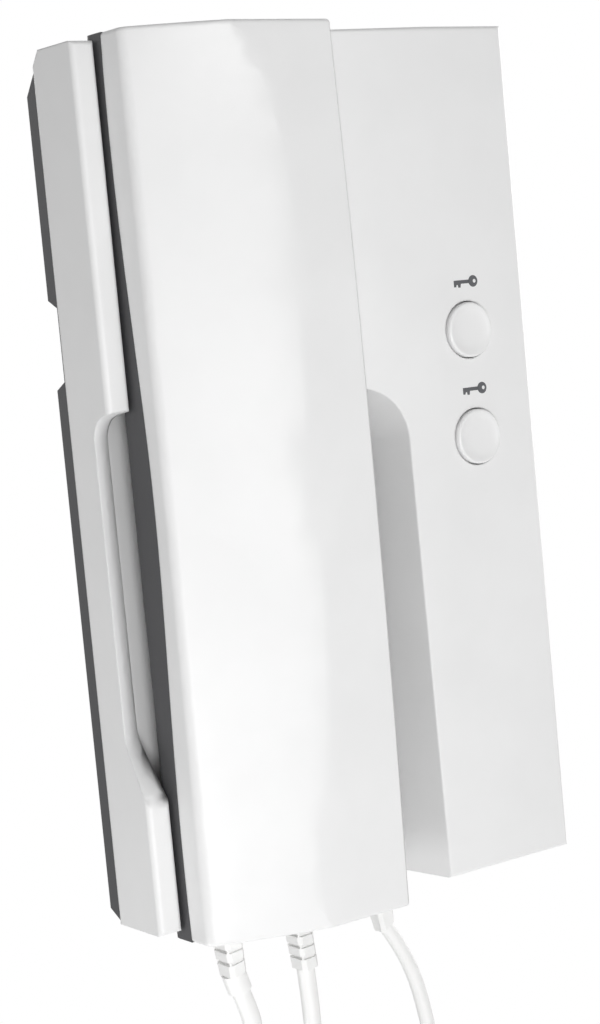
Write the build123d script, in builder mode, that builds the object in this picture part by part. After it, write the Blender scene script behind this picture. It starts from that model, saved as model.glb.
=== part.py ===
from build123d import *
from math import ceil, cos, pi, radians, sin, sqrt, tan
import os

# Audio intercom handset on its wall unit, in millimetres.
# X runs to the right, Y into the wall and Z up.
# The origin lies on the wall, midway between the two wall screws.
# A depth is a distance out from the wall, so a point at depth d has y = -d.
os.makedirs("parts", exist_ok=True)

# Sizes shared by several pieces
wall = 2.0
overrun = 1.0
seat_gap = 0.3
screw_clearance = 0.1

# Wall unit: overall form
base_width = 117.0
base_height = 215.0
rear_depth = 5.0
panel_depth = 41.5
rail_depth = 24.0
rail_width = 6.5
channel_width = 54.2
tray_depth = 10.0
end_wall_depth = 15.0
foot_height = 7.7
fold_top_inset = 24.4
fold_bottom_inset = 38.5
facet_drop = 4.1
top_chamfer_depth = 8.0
top_chamfer_height = 9.6
bottom_chamfer_depth = 5.0
bottom_chamfer_height = 2.8
panel_edge_round = 1.2
rail_edge_round = 1.5

# Wall unit: finger recess beside the panel
recess_width = 16.3
recess_height = 127.3
recess_corner = 14.0
recess_floor_depth = 16.0
recess_lean = 3.0
recess_round = 8.0

# Wall unit: scoop in the rail
scoop_top_height = 127.8
scoop_bottom_height = 31.4
scoop_top_lean = 2.4
scoop_ramp = 15.6
scoop_outer_depth = 17.0
scoop_middle_depth = 14.0
scoop_inner_depth = 12.4
scoop_top_round = 6.5
scoop_ramp_round = 10.0

# Wall unit: ledges that carry the two ends of the handset
ledge_depth = 15.0
ledge_height = 3.0
ledge_inset = 12.0

# Wall unit: core of the rail
rail_core_width = 1.6
rail_core_depth = 11.0

# Rear cover
rear_inset = 0.4
wall_screw_spacing = 83.5
wall_screw_hole_radius = 2.2
wall_screw_pad_radius = 6.0
wall_screw_pad_height = 1.0
cable_window_width = 34.0
cable_window_height = 40.0
cable_window_round = 3.0
notch_height = 22.0
notch_drop = 70.6
notch_depth = 4.0
notch_slope = 2.0
notch_reach = 9.0
rib_thickness = 1.2
rib_height = 2.4
tongue_height = 2.0
tongue_gap = 0.2
low_rib_height = 30.0
middle_rib_height = 78.0
tongue_thickness = 1.2
tongue_length = 150.0

# Latches between the covers
latch_width = 10.0
latch_thickness = 2.0
latch_lip = 1.2
latch_drop = 17.0
latch_spacing = 36.0

# Case screw
case_screw_inset = 8.5
case_screw_depth = 7.4
case_screw_length = 12.0
case_screw_radius = 1.4
case_screw_head_radius = 2.6
case_screw_head_height = 1.6
case_boss_width = 7.0
case_boss_height = 13.0

# Door release buttons
button_radius = 7.0
button_gap = 0.35
button_inset = 19.3
upper_button_drop = 76.5
lower_button_drop = 103.8
button_proud = 0.5
button_dome = 0.9
button_skirt_wall = 1.2
button_flange_radius = 8.4
button_flange_height = 1.2
button_travel = 0.8
button_stem_radius = 2.0
button_crown = 1.4
button_edge = 0.6
guide_wall = 1.2

# Circuit board
board_inset = 20.1
board_width = 32.0
board_height = 100.0
board_centre_drop = 95.0
board_depth = 24.0
board_thickness = 1.6
board_hole_inset = 3.6
board_boss_radius = 3.0
board_screw_radius = 1.1
board_screw_length = 8.0
board_screw_head_radius = 2.1
board_screw_head_height = 1.4
switch_body = 6.0
switch_body_height = 3.6
switch_foot_length = 1.2
switch_foot_width = 0.8
switch_foot_thickness = 0.3
plunger_radius = 1.75
plunger_height = 1.4
plunger_sink = 0.6
plunger_clearance = 0.1

# Parts on the back of the board
capacitor_radius = 4.0
capacitor_height = 11.0
capacitor_spacing = 12.0
capacitor_inset = 14.0
capacitor_edge = 0.4
transformer_width = 14.0
transformer_height = 12.0
transformer_depth = 10.0
bobbin_width = 8.0
bobbin_proud = 1.0
terminal_pitch = 5.0
terminal_count = 4
terminal_height = 8.0
terminal_depth = 10.0
terminal_mouth = 3.0
terminal_inset = 8.0
terminal_screw_radius = 1.6
terminal_screw_height = 2.0

# Chime speaker in the foot of the panel
speaker_inset = 20.0
speaker_depth = 24.5
speaker_radius = 14.0
speaker_frame_height = 3.0
speaker_magnet_radius = 7.5
speaker_magnet_height = 4.5
speaker_rim = 2.0
speaker_ring_wall = 1.2
speaker_ring_height = 4.0
slot_count = 5
slot_width = 1.6
slot_pitch = 3.6
slot_length = 14.0

# Hook lever, its spring and its switch
lever_inset = 27.5
lever_pivot_drop = 55.0
lever_pivot_depth = 5.0
lever_shaft_radius = 1.4
lever_shaft_gap = 0.08
lever_arm_width = 7.4
lever_arm_thickness = 2.0
lever_arm_length = 28.0
nose_length = 10.0
window_gap = 0.4
window_drop = 1.6
crank_reach_aside = 7.3
crank_width = 4.0
crank_reach = 11.0
crank_thickness = 2.0
cheek_thickness = 2.0
cheek_depth = 7.4
cheek_half_height = 3.4
keeper_width = 5.0
keeper_inset = 11.2
keeper_spacing = 11.0
hook_switch_width = 6.0
hook_switch_height = 6.6
hook_switch_depth = 12.8
hook_plunger_radius = 0.8
hook_plunger_proud = 1.4
hook_plunger_travel = 0.6
hook_plunger_sink = 1.0
hook_plunger_depth = 12.4
hook_switch_back = 6.5
hook_leg_count = 3
hook_leg_width = 2.4
hook_leg_thickness = 0.5
hook_leg_length = 3.0
seat_wall = 1.4
seat_depth = 12.0
spring_room = 4.4
shaft_end = 0.8
nose_slope = 3.0
nose_round = 1.2
lug_low = 6.6
lug_height = 4.0
lug_width = 2.2
spring_wire = 0.5
spring_radius = 2.0
spring_turns = 3
spring_pitch = 0.8
spring_leg = 9.0
spring_pad_width = 2.0
spring_pad_height = 3.0

# Handset: outside
handset_width = 52.4
handset_side_gap = 0.6
handset_low_overhang = 2.5
handset_high_overhang = 1.5
handset_front_depth = 47.2
handset_end_drop = 1.7
handset_left_depth = 35.0
handset_left_end_drop = 0.7
facet_bulge = 0.5
left_inset_share = 0.72
right_inset_share = 0.6
left_edge_round = 3.2
ridge_round = 9.0
right_edge_round = 1.6
end_edge_round = 1.0
parting_low_depth = 26.6
parting_middle_depth = 29.0
parting_high_depth = 26.1
parting_lift = 0.2
parting_gap = 0.1
grip_depth = 17.0
end_depth = 19.5
end_slope = 13.0
rear_edge_round = 5.0

low_share = 0.22
middle_share = 0.5
high_share = 0.74

# Handset: ear and mouth lobes
lobe_depth = 10.3
lobe_taper = 0.6
lobe_edge_round = 1.6
ear_lobe_width = 44.0
ear_lobe_low_drop = 58.7
ear_lobe_high_drop = 9.0
ear_lobe_corner = 19.0
mouth_lobe_width = 42.0
mouth_lobe_low = 8.0
mouth_lobe_high = 50.0
mouth_lobe_corner = 16.0
ear_slot_width = 1.8
ear_slot_pitch = 3.6
ear_slot_count = 5
ear_grille_radius = 10.0
mouth_slot_width = 1.4
mouth_slot_length = 6.0

# Handset: inner pieces
receiver_radius = 16.0
receiver_height = 8.0
receiver_magnet_radius = 9.0
receiver_chamfer = 0.6
receiver_hole_ring = 5.0
receiver_hole_count = 6
receiver_hole_radius = 0.8
receiver_hole_depth = 1.0
receiver_magnet_height = 4.0
receiver_ring_wall = 1.4
receiver_ring_height = 7.0
gasket_height = 1.4
gasket_wall = 2.6
microphone_radius = 4.85
microphone_height = 5.0
microphone_edge = 0.4
grommet_wall = 1.6
grommet_floor = 1.0
grommet_height = 7.0
grommet_bore_radius = 1.5
mouth_ring_wall = 1.2
mouth_ring_height = 5.0
handset_screw_drop = 73.0
handset_screw_rise = 66.0
handset_screw_radius = 1.5
handset_screw_head_radius = 2.7
handset_screw_head_height = 1.8
handset_screw_length = 14.0
screw_well_depth = 3.4
screw_well_floor = 1.8
screw_boss_radius = 4.4
front_boss_radius = 3.4

# Strain reliefs of the cords
boot_width = 5.4
boot_tip_width = 5.0
boot_thickness = 7.8
boot_tip_thickness = 6.8
boot_corner = 1.0
boot_slit_height = 1.0
boot_slit_pitch = 3.1
boot_slit_last = 3.9
boot_slit_sink = 0.8
boot_slit_width_share = 0.78
boot_flange_width = 9.0
boot_flange_thickness = 5.4
boot_flange_height = 1.4
boot_lean = 6.0
boot_fit = 0.15
handset_boot_inset = 11.0
handset_boot_depth = 24.4
handset_boot_length = 10.8
handset_boot_slits = 2
handset_boot_neck = 5.0
neck_diameter = 6.2
base_boot_inset = 12.0
base_boot_depth = 9.2
base_boot_length = 22.8
base_boot_slits = 5
line_boot_reach = 13.8
line_boot_length = 18.0
line_boot_slits = 0
line_boot_width = 6.6
line_boot_tip_width = 5.2
line_boot_tip_thickness = 5.2
line_boot_lean = 10.5
handset_boot_tip_lean = 17.0
base_boot_tip_lean = 6.0
line_boot_tip_lean = 34.0

# Handset cord
cord_wire = 4.8
cord_sides = 6
curl_radius = 5.2
first_leg_curls = 8
bend_curls = 6
second_leg_curls = 6
leg_pitch = 6.4
cord_drop = 14.0
run_in_height = 26.0
run_in_curls = 1
cord_side_shift = 3.0
leg_shift = 3.0

# Line cable and its plug
cable_diameter = 4.0
cable_first_run = 12.0
cable_places = ((31.0, -154.0), (33.0, -180.0), (33.8, -206.0), (33.0, -232.0), (33.0, -250.0))
cable_arc_share = 0.45
plug_width = 12.0
plug_thickness = 6.0
plug_length = 14.0
plug_way_width = 1.8
plug_way_pitch = 2.5
plug_way_depth = 6.0
plug_ways = 4
plug_key_width = 1.4
plug_key_height = 0.8

# Places worked out from the sizes
base_left = -base_width / 2
base_right = base_width / 2
base_bottom = -base_height / 2
base_top = base_height / 2
channel_left = base_left + rail_width
channel_right = channel_left + channel_width
recess_right = channel_right + recess_width
recess_top = base_bottom + recess_height
handset_left = channel_left + handset_side_gap
handset_right = handset_left + handset_width
handset_middle = (handset_left + handset_right) / 2
handset_bottom = base_bottom - handset_low_overhang
handset_top = base_top + handset_high_overhang
handset_length = handset_top - handset_bottom
button_side = base_right - button_inset
board_side = base_right - board_inset
speaker_side = base_right - speaker_inset
case_screw_side = base_right - case_screw_inset
lever_side = channel_left + lever_inset
crank_side = channel_right + crank_reach_aside
handset_boot_side = handset_left + handset_boot_inset
base_boot_side = channel_right - base_boot_inset
line_boot_side = channel_right + line_boot_reach


def across(height):
    """A plane square to Z, with X to the right and depth upwards; extruding up takes a minus."""
    return Plane(origin=(0, 0, height), x_dir=(1, 0, 0), z_dir=(0, 0, -1))


def facing(depth):
    """A plane parallel to the wall, with X to the right and Z upwards; extruding goes out from the wall."""
    return Plane(origin=(0, -depth, 0), x_dir=(1, 0, 0), z_dir=(0, -1, 0))


def beside(x):
    """A plane square to X, with depth to the right and Z upwards; extruding to the right takes a minus."""
    return Plane(origin=(x, 0, 0), x_dir=(0, -1, 0), z_dir=(-1, 0, 0))


def block(left, right, near, far, low, high, mode=Mode.ADD):
    """A block between two sides, two depths and two heights, in the piece that is being built."""
    with BuildSketch(facing(near)) as outline:
        with Locations(((left + right) / 2, (low + high) / 2)):
            Rectangle(right - left, high - low)
    extrude(outline.sketch, amount=far - near, mode=mode)


def post(x, z, near, far, radius, mode=Mode.ADD):
    """A round post or hole square to the wall, between two depths."""
    with BuildSketch(facing(near)) as outline:
        with Locations((x, z)):
            Circle(radius)
    extrude(outline.sketch, amount=far - near, mode=mode)


def tube(x, z, near, far, outer, inner):
    """A round tube square to the wall, between two depths."""
    with BuildSketch(facing(near)) as outline:
        with Locations((x, z)):
            Circle(outer)
            Circle(inner, mode=Mode.SUBTRACT)
    extrude(outline.sketch, amount=far - near)


def write(piece, name):
    """Labels a finished piece and writes its STEP file."""
    piece.part.label = name
    export_step(piece.part, f"parts/{name}.step")


# Planes that bevel the back of the wall unit, with their outer side facing out
top_bevel = Plane(
    origin=(0, 0, base_top - top_chamfer_height),
    x_dir=(1, 0, 0),
    z_dir=(0, top_chamfer_height, top_chamfer_depth),
)
bottom_bevel = Plane(
    origin=(0, 0, base_bottom + bottom_chamfer_height),
    x_dir=(1, 0, 0),
    z_dir=(0, bottom_chamfer_height, -bottom_chamfer_depth),
)

# Plane of the panel's left facet, through the slanted fold
fold_top = Vector(base_right - fold_top_inset, -panel_depth, base_top)
fold_bottom = Vector(base_right - fold_bottom_inset, -panel_depth, base_bottom)
facet_edge = Vector(channel_right, facet_drop - panel_depth, base_top)
facet_normal = (fold_bottom - fold_top).cross(facet_edge - fold_top)
if facet_normal.Y > 0:
    facet_normal = -facet_normal
facet_plane = Plane(origin=fold_top, z_dir=facet_normal)


def recess_form(grow):
    """The finger recess as a solid, or the outside of its skin when grow is the wall."""
    left = channel_right - overrun
    low = base_bottom - overrun
    floor = recess_floor_depth - grow
    with BuildPart() as form:
        for depth, lean in ((floor, recess_lean), (panel_depth + overrun, 0)):
            right = recess_right + grow - lean
            high = recess_top + grow - lean
            with BuildSketch(facing(depth)):
                with Locations(((left + right) / 2, (low + high) / 2)):
                    corner = Rectangle(right - left, high - low)
                top_right = corner.vertices().sort_by(Axis.X)[-2:].sort_by(Axis.Y)[-1]
                fillet(top_right, recess_corner + grow)
        loft()
        floor_face = form.faces().sort_by(Axis.Y)[-1]
        rounded = floor_face.edges().filter_by(
            lambda e: e.center().X > left + wall and e.center().Z > low + wall
        )
        fillet(rounded, recess_round + grow)
    return form.part


# Outside of the panel
with BuildPart() as panel_form:
    block(channel_right, base_right, rear_depth, panel_depth, base_bottom, base_top)
    split(bisect_by=facet_plane, keep=Keep.BOTTOM)
    front_edges = panel_form.edges().filter_by(
        lambda e: -e.center().Y > panel_depth - facet_drop - wall
        and not (fold_bottom.X < e.center().X < fold_top.X and abs(e.center().Z) < wall)
    )
    fillet(front_edges, panel_edge_round)

# Outside of the rail
with BuildPart() as rail_form:
    block(base_left, channel_left, rear_depth, rail_depth, base_bottom, base_top)
    rail_front = rail_form.faces().sort_by(Axis.Y)[0]
    fillet(rail_front.edges(), rail_edge_round)

# Scoop in the rail, deeper towards the channel
with BuildPart() as scoop_form:
    scoop_sides = (base_left - overrun, (base_left + channel_left) / 2, channel_left + overrun)
    scoop_depths = (scoop_outer_depth, scoop_middle_depth, scoop_inner_depth)
    scoop_top = base_bottom + scoop_top_height
    scoop_bottom = base_bottom + scoop_bottom_height
    for side, rim in zip(scoop_sides, scoop_depths):
        with BuildSketch(beside(side)):
            with BuildLine():
                FilletPolyline(
                    (rail_depth + overrun, scoop_top),
                    (rim, scoop_top - scoop_top_lean),
                    (rim, scoop_bottom + scoop_ramp),
                    (rail_depth, scoop_bottom),
                    radius=[scoop_top_round, scoop_ramp_round],
                )
                Polyline(
                    (rail_depth, scoop_bottom),
                    (rail_depth + overrun, scoop_bottom),
                    (rail_depth + overrun, scoop_top),
                )
            make_face()
    loft()

# Hollow behind the panel
with BuildPart() as panel_hollow:
    block(
        channel_right + wall,
        base_right - wall,
        rear_depth - overrun,
        panel_depth - wall,
        base_bottom + wall,
        base_top - wall,
    )
    split(bisect_by=facet_plane.offset(-wall), keep=Keep.BOTTOM)
    add(recess_form(wall), mode=Mode.SUBTRACT)

# Hollow of the whole front cover
with BuildPart() as cover_hollow:
    add(panel_hollow.part)
    block(
        base_left + wall,
        base_right - wall,
        rear_depth - overrun,
        tray_depth - wall,
        base_bottom + wall,
        base_top - wall,
    )
    block(
        channel_left + wall,
        channel_right - wall,
        rear_depth - overrun,
        end_wall_depth - wall,
        base_bottom + wall,
        base_bottom + foot_height - wall,
    )
    rail_core_left = base_left + (rail_width - rail_core_width) / 2
    block(
        rail_core_left,
        rail_core_left + rail_core_width,
        rear_depth - overrun,
        rail_core_depth,
        base_bottom + foot_height,
        base_top - foot_height,
    )
    split(bisect_by=top_bevel.offset(-wall), keep=Keep.BOTTOM)

lever_pivot = base_top - lever_pivot_drop
keeper_sides = (channel_right - keeper_inset, channel_right - keeper_inset + keeper_spacing)
nose_low = lever_pivot + lever_arm_length - nose_length
nose_high = lever_pivot + lever_arm_length
ear_ledge_top = base_top - ear_lobe_low_drop - seat_gap
mouth_ledge_bottom = base_bottom + mouth_lobe_high + seat_gap
latch_base = base_top - latch_drop
latch_sides = (handset_middle - latch_spacing / 2, handset_middle + latch_spacing / 2)
boss_xs = (board_side - board_width / 2 + board_hole_inset, board_side + board_width / 2 - board_hole_inset)
board_middle = base_top - board_centre_drop
boss_zs = (
    board_middle - board_height / 2 + board_hole_inset,
    board_middle + board_height / 2 - board_hole_inset,
)
board_front = board_depth + board_thickness
button_heights = (base_top - upper_button_drop, base_top - lower_button_drop)
guide_back = panel_depth - wall - guide_wall
flange_front = guide_back - seat_gap

# Front cover
with BuildPart() as front_cover:
    add(panel_form.part)
    add(rail_form.part)
    for depth, low, high in (
        (tray_depth, base_bottom, base_top),
        (end_wall_depth, base_bottom, base_bottom + foot_height),
        (end_wall_depth, base_top - wall, base_top),
    ):
        block(channel_left - overrun, channel_right + overrun, rear_depth, depth, low, high)
    for ledge in (ear_ledge_top - ledge_height, mouth_ledge_bottom):
        block(
            channel_left + ledge_inset,
            channel_right + overrun,
            tray_depth - wall,
            ledge_depth,
            ledge,
            ledge + ledge_height,
        )
    add(recess_form(0), mode=Mode.SUBTRACT)
    add(scoop_form.part, mode=Mode.SUBTRACT)
    split(bisect_by=top_bevel, keep=Keep.BOTTOM)
    split(bisect_by=bottom_bevel, keep=Keep.BOTTOM)
    add(cover_hollow.part, mode=Mode.SUBTRACT)
    # Bosses of the circuit board, with their pilot holes
    for x in boss_xs:
        for z in boss_zs:
            post(x, z, board_front, panel_depth - wall, board_boss_radius)
            post(
                x,
                z,
                board_front - overrun,
                board_front + board_screw_length,
                board_screw_radius + screw_clearance,
                Mode.SUBTRACT,
            )
    # Guides and holes of the buttons
    for z in button_heights:
        post(button_side, z, guide_back, panel_depth - wall, button_radius + button_gap + guide_wall)
        post(
            button_side,
            z,
            guide_back - overrun,
            panel_depth + overrun,
            button_radius + button_gap,
            Mode.SUBTRACT,
        )
    # Ring and slots of the chime speaker
    with BuildSketch(across(base_bottom + wall)):
        with Locations((speaker_side, speaker_depth)):
            Circle(speaker_radius + seat_gap + speaker_ring_wall)
            Circle(speaker_radius + seat_gap, mode=Mode.SUBTRACT)
    extrude(amount=-speaker_ring_height)
    with BuildSketch(across(base_bottom - overrun)):
        with Locations((speaker_side, speaker_depth)):
            with GridLocations(slot_pitch, 0, slot_count, 1):
                SlotOverall(slot_length, slot_width, rotation=90)
    extrude(amount=-(wall + 2 * overrun), mode=Mode.SUBTRACT)
    # Window of the hook lever's nose
    block(
        lever_side - lever_arm_width / 2 - window_gap,
        lever_side + lever_arm_width / 2 + window_gap,
        rear_depth,
        tray_depth + overrun,
        nose_low - window_drop,
        nose_high + window_gap,
        Mode.SUBTRACT,
    )
    # Catches over the rear cover's latches
    for x in latch_sides:
        catch_low = latch_base + latch_thickness + latch_lip + window_gap
        block(
            x - latch_width / 2,
            x + latch_width / 2,
            rear_depth - latch_lip,
            tray_depth - wall,
            catch_low,
            catch_low + latch_thickness,
        )
        block(
            x - latch_width / 2,
            x + latch_width / 2,
            rear_depth - latch_lip,
            rear_depth,
            catch_low - latch_lip,
            catch_low,
        )
    # Hole of the case screw and notches of the two strain reliefs in the lower wall
    with BuildSketch(across(base_bottom - overrun)):
        with Locations((case_screw_side, case_screw_depth)):
            Circle(case_screw_radius + screw_clearance)
    extrude(amount=-(wall + 2 * overrun), mode=Mode.SUBTRACT)
    for side, width in ((base_boot_side, boot_width), (line_boot_side, line_boot_width)):
        block(
            side - width / 2 - boot_fit,
            side + width / 2 + boot_fit,
            rear_depth - overrun,
            base_boot_depth + boot_thickness / 2 + boot_fit,
            base_bottom - overrun,
            base_bottom + wall + overrun,
            Mode.SUBTRACT,
        )
    # Keepers over the hook lever's shaft
    for x in keeper_sides:
        block(
            x - keeper_width / 2,
            x + keeper_width / 2,
            lever_pivot_depth + lever_shaft_radius + seat_gap,
            tray_depth - wall,
            lever_pivot - lever_shaft_radius,
            lever_pivot + lever_shaft_radius,
        )
write(front_cover, "front_cover")

# Rear cover
notch_middle = base_top - notch_drop
seat_low = lever_pivot + crank_thickness / 2 + parting_gap + hook_plunger_proud
cheek_sides = (
    lever_side - lever_arm_width / 2 - seat_gap - cheek_thickness,
    lever_side + lever_arm_width / 2 + spring_room,
    crank_side + crank_width / 2 + seat_gap,
)
spring_start = lever_side + lever_arm_width / 2 + spring_wire / 2 + seat_gap
spring_end = spring_start + spring_turns * spring_pitch
spring_back = lever_pivot_depth - spring_radius
with BuildPart() as rear_hollow:
    block(
        base_left + rear_inset + wall,
        base_right - rear_inset - wall,
        wall,
        rear_depth + overrun,
        base_bottom + rear_inset + wall,
        base_top - rear_inset - wall,
    )
    split(bisect_by=top_bevel.offset(-rear_inset - wall), keep=Keep.BOTTOM)

with BuildPart() as rear_cover:
    block(
        base_left + rear_inset,
        base_right - rear_inset,
        0,
        rear_depth,
        base_bottom + rear_inset,
        base_top - rear_inset,
    )
    split(bisect_by=top_bevel.offset(-rear_inset), keep=Keep.BOTTOM)
    split(bisect_by=bottom_bevel.offset(-rear_inset), keep=Keep.BOTTOM)
    add(rear_hollow.part, mode=Mode.SUBTRACT)
    # Tongues that line the front cover up
    for left in (
        base_left + wall + tongue_gap,
        base_right - wall - tongue_gap - tongue_thickness,
    ):
        block(
            left,
            left + tongue_thickness,
            wall,
            rear_depth + tongue_height,
            -tongue_length / 2,
            tongue_length / 2,
        )
    # Ribs of the plate
    for z in (base_bottom + low_rib_height, base_bottom + middle_rib_height):
        block(
            base_left + wall,
            base_right - wall,
            wall,
            wall + rib_height,
            z,
            z + rib_thickness,
        )
    # Latches at the top, under the front cover's catches
    for x in latch_sides:
        block(
            x - latch_width / 2,
            x + latch_width / 2,
            wall,
            rear_depth + latch_thickness,
            latch_base,
            latch_base + latch_thickness,
        )
        block(
            x - latch_width / 2,
            x + latch_width / 2,
            rear_depth + tongue_gap,
            rear_depth + latch_thickness,
            latch_base + latch_thickness,
            latch_base + latch_thickness + latch_lip,
        )
    # Boss of the case screw
    block(
        case_screw_side - case_boss_width / 2,
        case_screw_side + case_boss_width / 2,
        wall,
        case_screw_depth + case_boss_width / 2,
        base_bottom + wall + parting_gap,
        base_bottom + case_boss_height,
    )
    with BuildSketch(across(base_bottom)):
        with Locations((case_screw_side, case_screw_depth)):
            Circle(case_screw_radius + screw_clearance)
    extrude(amount=-(case_boss_height + overrun), mode=Mode.SUBTRACT)
    # Bearings of the hook lever, open to the front
    for left in cheek_sides:
        block(
            left,
            left + cheek_thickness,
            wall,
            cheek_depth,
            lever_pivot - cheek_half_height,
            lever_pivot + cheek_half_height,
        )
        with BuildSketch(beside(left - overrun)):
            with Locations((lever_pivot_depth, lever_pivot)):
                Circle(lever_shaft_radius + lever_shaft_gap)
            with Locations(((lever_pivot_depth + cheek_depth + overrun) / 2, lever_pivot)):
                Rectangle(
                    cheek_depth + overrun - lever_pivot_depth,
                    2 * (lever_shaft_radius + lever_shaft_gap),
                )
        extrude(amount=-(cheek_thickness + 2 * overrun), mode=Mode.SUBTRACT)
    # Seat of the hook switch
    block(
        crank_side - hook_switch_width / 2 - seat_wall,
        crank_side + hook_switch_width / 2 + seat_wall,
        wall,
        seat_depth,
        seat_low,
        seat_low + hook_switch_height,
    )
    block(
        crank_side - hook_switch_width / 2 - parting_gap,
        crank_side + hook_switch_width / 2 + parting_gap,
        hook_switch_back - parting_gap,
        seat_depth + overrun,
        seat_low - overrun,
        seat_low + hook_switch_height + overrun,
        Mode.SUBTRACT,
    )
    # Pad under the lower leg of the hook spring
    block(
        spring_end - spring_pad_width / 2,
        spring_end + spring_pad_width / 2,
        wall,
        spring_back - spring_wire / 2 - parting_gap,
        lever_pivot - spring_leg,
        lever_pivot - spring_leg + spring_pad_height,
    )
    # Wall screw holes on their pads, the cable window and the cable notch at the side
    for z in (-wall_screw_spacing / 2, wall_screw_spacing / 2):
        post(0, z, wall, wall + wall_screw_pad_height, wall_screw_pad_radius)
        post(0, z, -overrun, wall + wall_screw_pad_height + overrun, wall_screw_hole_radius, Mode.SUBTRACT)
    with BuildSketch(facing(-overrun)):
        RectangleRounded(cable_window_width, cable_window_height, cable_window_round)
    extrude(amount=wall + 2 * overrun, mode=Mode.SUBTRACT)
    with BuildSketch(beside(base_left - overrun)):
        with BuildLine():
            Polyline(
                (-overrun, notch_middle - notch_height / 2),
                (0, notch_middle - notch_height / 2),
                (notch_depth, notch_middle - notch_height / 2 + notch_slope),
                (notch_depth, notch_middle + notch_height / 2 - notch_slope),
                (0, notch_middle + notch_height / 2),
                (-overrun, notch_middle + notch_height / 2),
                close=True,
            )
        make_face()
    extrude(amount=-(notch_reach + overrun), mode=Mode.SUBTRACT)
write(rear_cover, "rear_cover")

# Hook lever: nose, arm, shaft and the crank that works the switch
with BuildPart() as hook_lever:
    with BuildSketch(beside(cheek_sides[0] - shaft_end)):
        with Locations((lever_pivot_depth, lever_pivot)):
            Circle(lever_shaft_radius)
    extrude(amount=-(cheek_sides[2] + cheek_thickness + 2 * shaft_end - cheek_sides[0]))
    with BuildSketch(beside(lever_side - lever_arm_width / 2)):
        with BuildLine():
            arm_near = lever_pivot_depth - lever_arm_thickness / 2
            arm_far = lever_pivot_depth + lever_arm_thickness / 2
            Polyline(
                (arm_near, lever_pivot),
                (arm_near, nose_high),
                (tray_depth, nose_high),
                (tray_depth, nose_low + nose_slope),
                (arm_far, nose_low),
                (arm_far, lever_pivot),
                close=True,
            )
        nose_outline = make_face()
        nose_tips = nose_outline.vertices().filter_by(lambda v: v.X > arm_far + screw_clearance)
        fillet(nose_tips, nose_round)
    extrude(amount=-lever_arm_width)
    block(
        lever_side + lever_arm_width / 2 - overrun,
        lever_side + lever_arm_width / 2 + lug_width,
        spring_back + spring_wire / 2 + seat_gap / 2,
        arm_far,
        lever_pivot + lug_low,
        lever_pivot + lug_low + lug_height,
    )
    block(
        crank_side - crank_width / 2,
        crank_side + crank_width / 2,
        lever_pivot_depth,
        lever_pivot_depth + crank_reach,
        lever_pivot - crank_thickness / 2,
        lever_pivot + crank_thickness / 2,
    )
write(hook_lever, "hook_lever")

# Hook switch on its seat, with the plunger under it
with BuildPart() as hook_switch:
    block(
        crank_side - hook_switch_width / 2,
        crank_side + hook_switch_width / 2,
        hook_switch_back,
        hook_switch_back + hook_switch_depth,
        seat_low,
        seat_low + hook_switch_height,
    )
    with BuildSketch(across(seat_low)):
        with Locations((crank_side, hook_plunger_depth)):
            Circle(hook_plunger_radius + plunger_clearance)
    extrude(amount=-(hook_plunger_sink + overrun), mode=Mode.SUBTRACT)
    # Three solder legs on top
    for leg in range(hook_leg_count):
        middle = hook_switch_back + hook_switch_depth * (leg + 1) / (hook_leg_count + 1)
        block(
            crank_side - hook_leg_width / 2,
            crank_side + hook_leg_width / 2,
            middle - hook_leg_thickness / 2,
            middle + hook_leg_thickness / 2,
            seat_low + hook_switch_height,
            seat_low + hook_switch_height + hook_leg_length,
        )
write(hook_switch, "hook_switch")

with BuildPart() as hook_plunger:
    with BuildSketch(across(seat_low - hook_plunger_proud)):
        with Locations((crank_side, hook_plunger_depth)):
            Circle(hook_plunger_radius)
    extrude(amount=-(hook_plunger_proud + hook_plunger_sink))
write(hook_plunger, "hook_switch_plunger")


def two_arcs(start, start_way, end, end_way):
    """Draws the two arcs that join two points with the given directions there."""
    reach_ways = start_way + end_way
    gap = end - start
    turn = 2 * (1 - start_way.dot(end_way))
    lean = gap.dot(reach_ways)
    reach = (sqrt(lean**2 + turn * gap.dot(gap)) - lean) / turn
    first = start + start_way * reach
    last = end - end_way * reach
    middle = (first + last) / 2
    TangentArc(start, middle, tangent=start_way)
    TangentArc(middle, end, tangent=last - first)


# Spring of the hook lever, wound round the shaft between two straight legs
with BuildLine() as spring_path:
    Line(
        (spring_start, -spring_back, lever_pivot + spring_leg),
        (spring_start, -spring_back, lever_pivot),
    )
    rise = spring_pitch / (2 * pi)
    steps = 2 * spring_turns
    spots = []
    for step in range(steps + 1):
        angle = pi * step
        side = spring_start + spring_pitch * step / 2
        around = Vector(side, -lever_pivot_depth + spring_radius * cos(angle), lever_pivot)
        way = Vector(rise, 0, -spring_radius * cos(angle)).normalized()
        if step in (0, steps):
            way = Vector(0, 0, -1)
        spots.append((around, way))
    for (start, start_way), (end, end_way) in zip(spots, spots[1:]):
        two_arcs(start, start_way, end, end_way)
    Line(
        (spring_end, -spring_back, lever_pivot),
        (spring_end, -spring_back, lever_pivot - spring_leg),
    )
with BuildPart() as hook_spring:
    with BuildSketch(Plane(origin=(spring_start, -spring_back, lever_pivot + spring_leg), z_dir=(0, 0, -1))):
        Rectangle(spring_wire, spring_wire)
    sweep(path=spring_path.wire())
write(hook_spring, "hook_spring")

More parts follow.
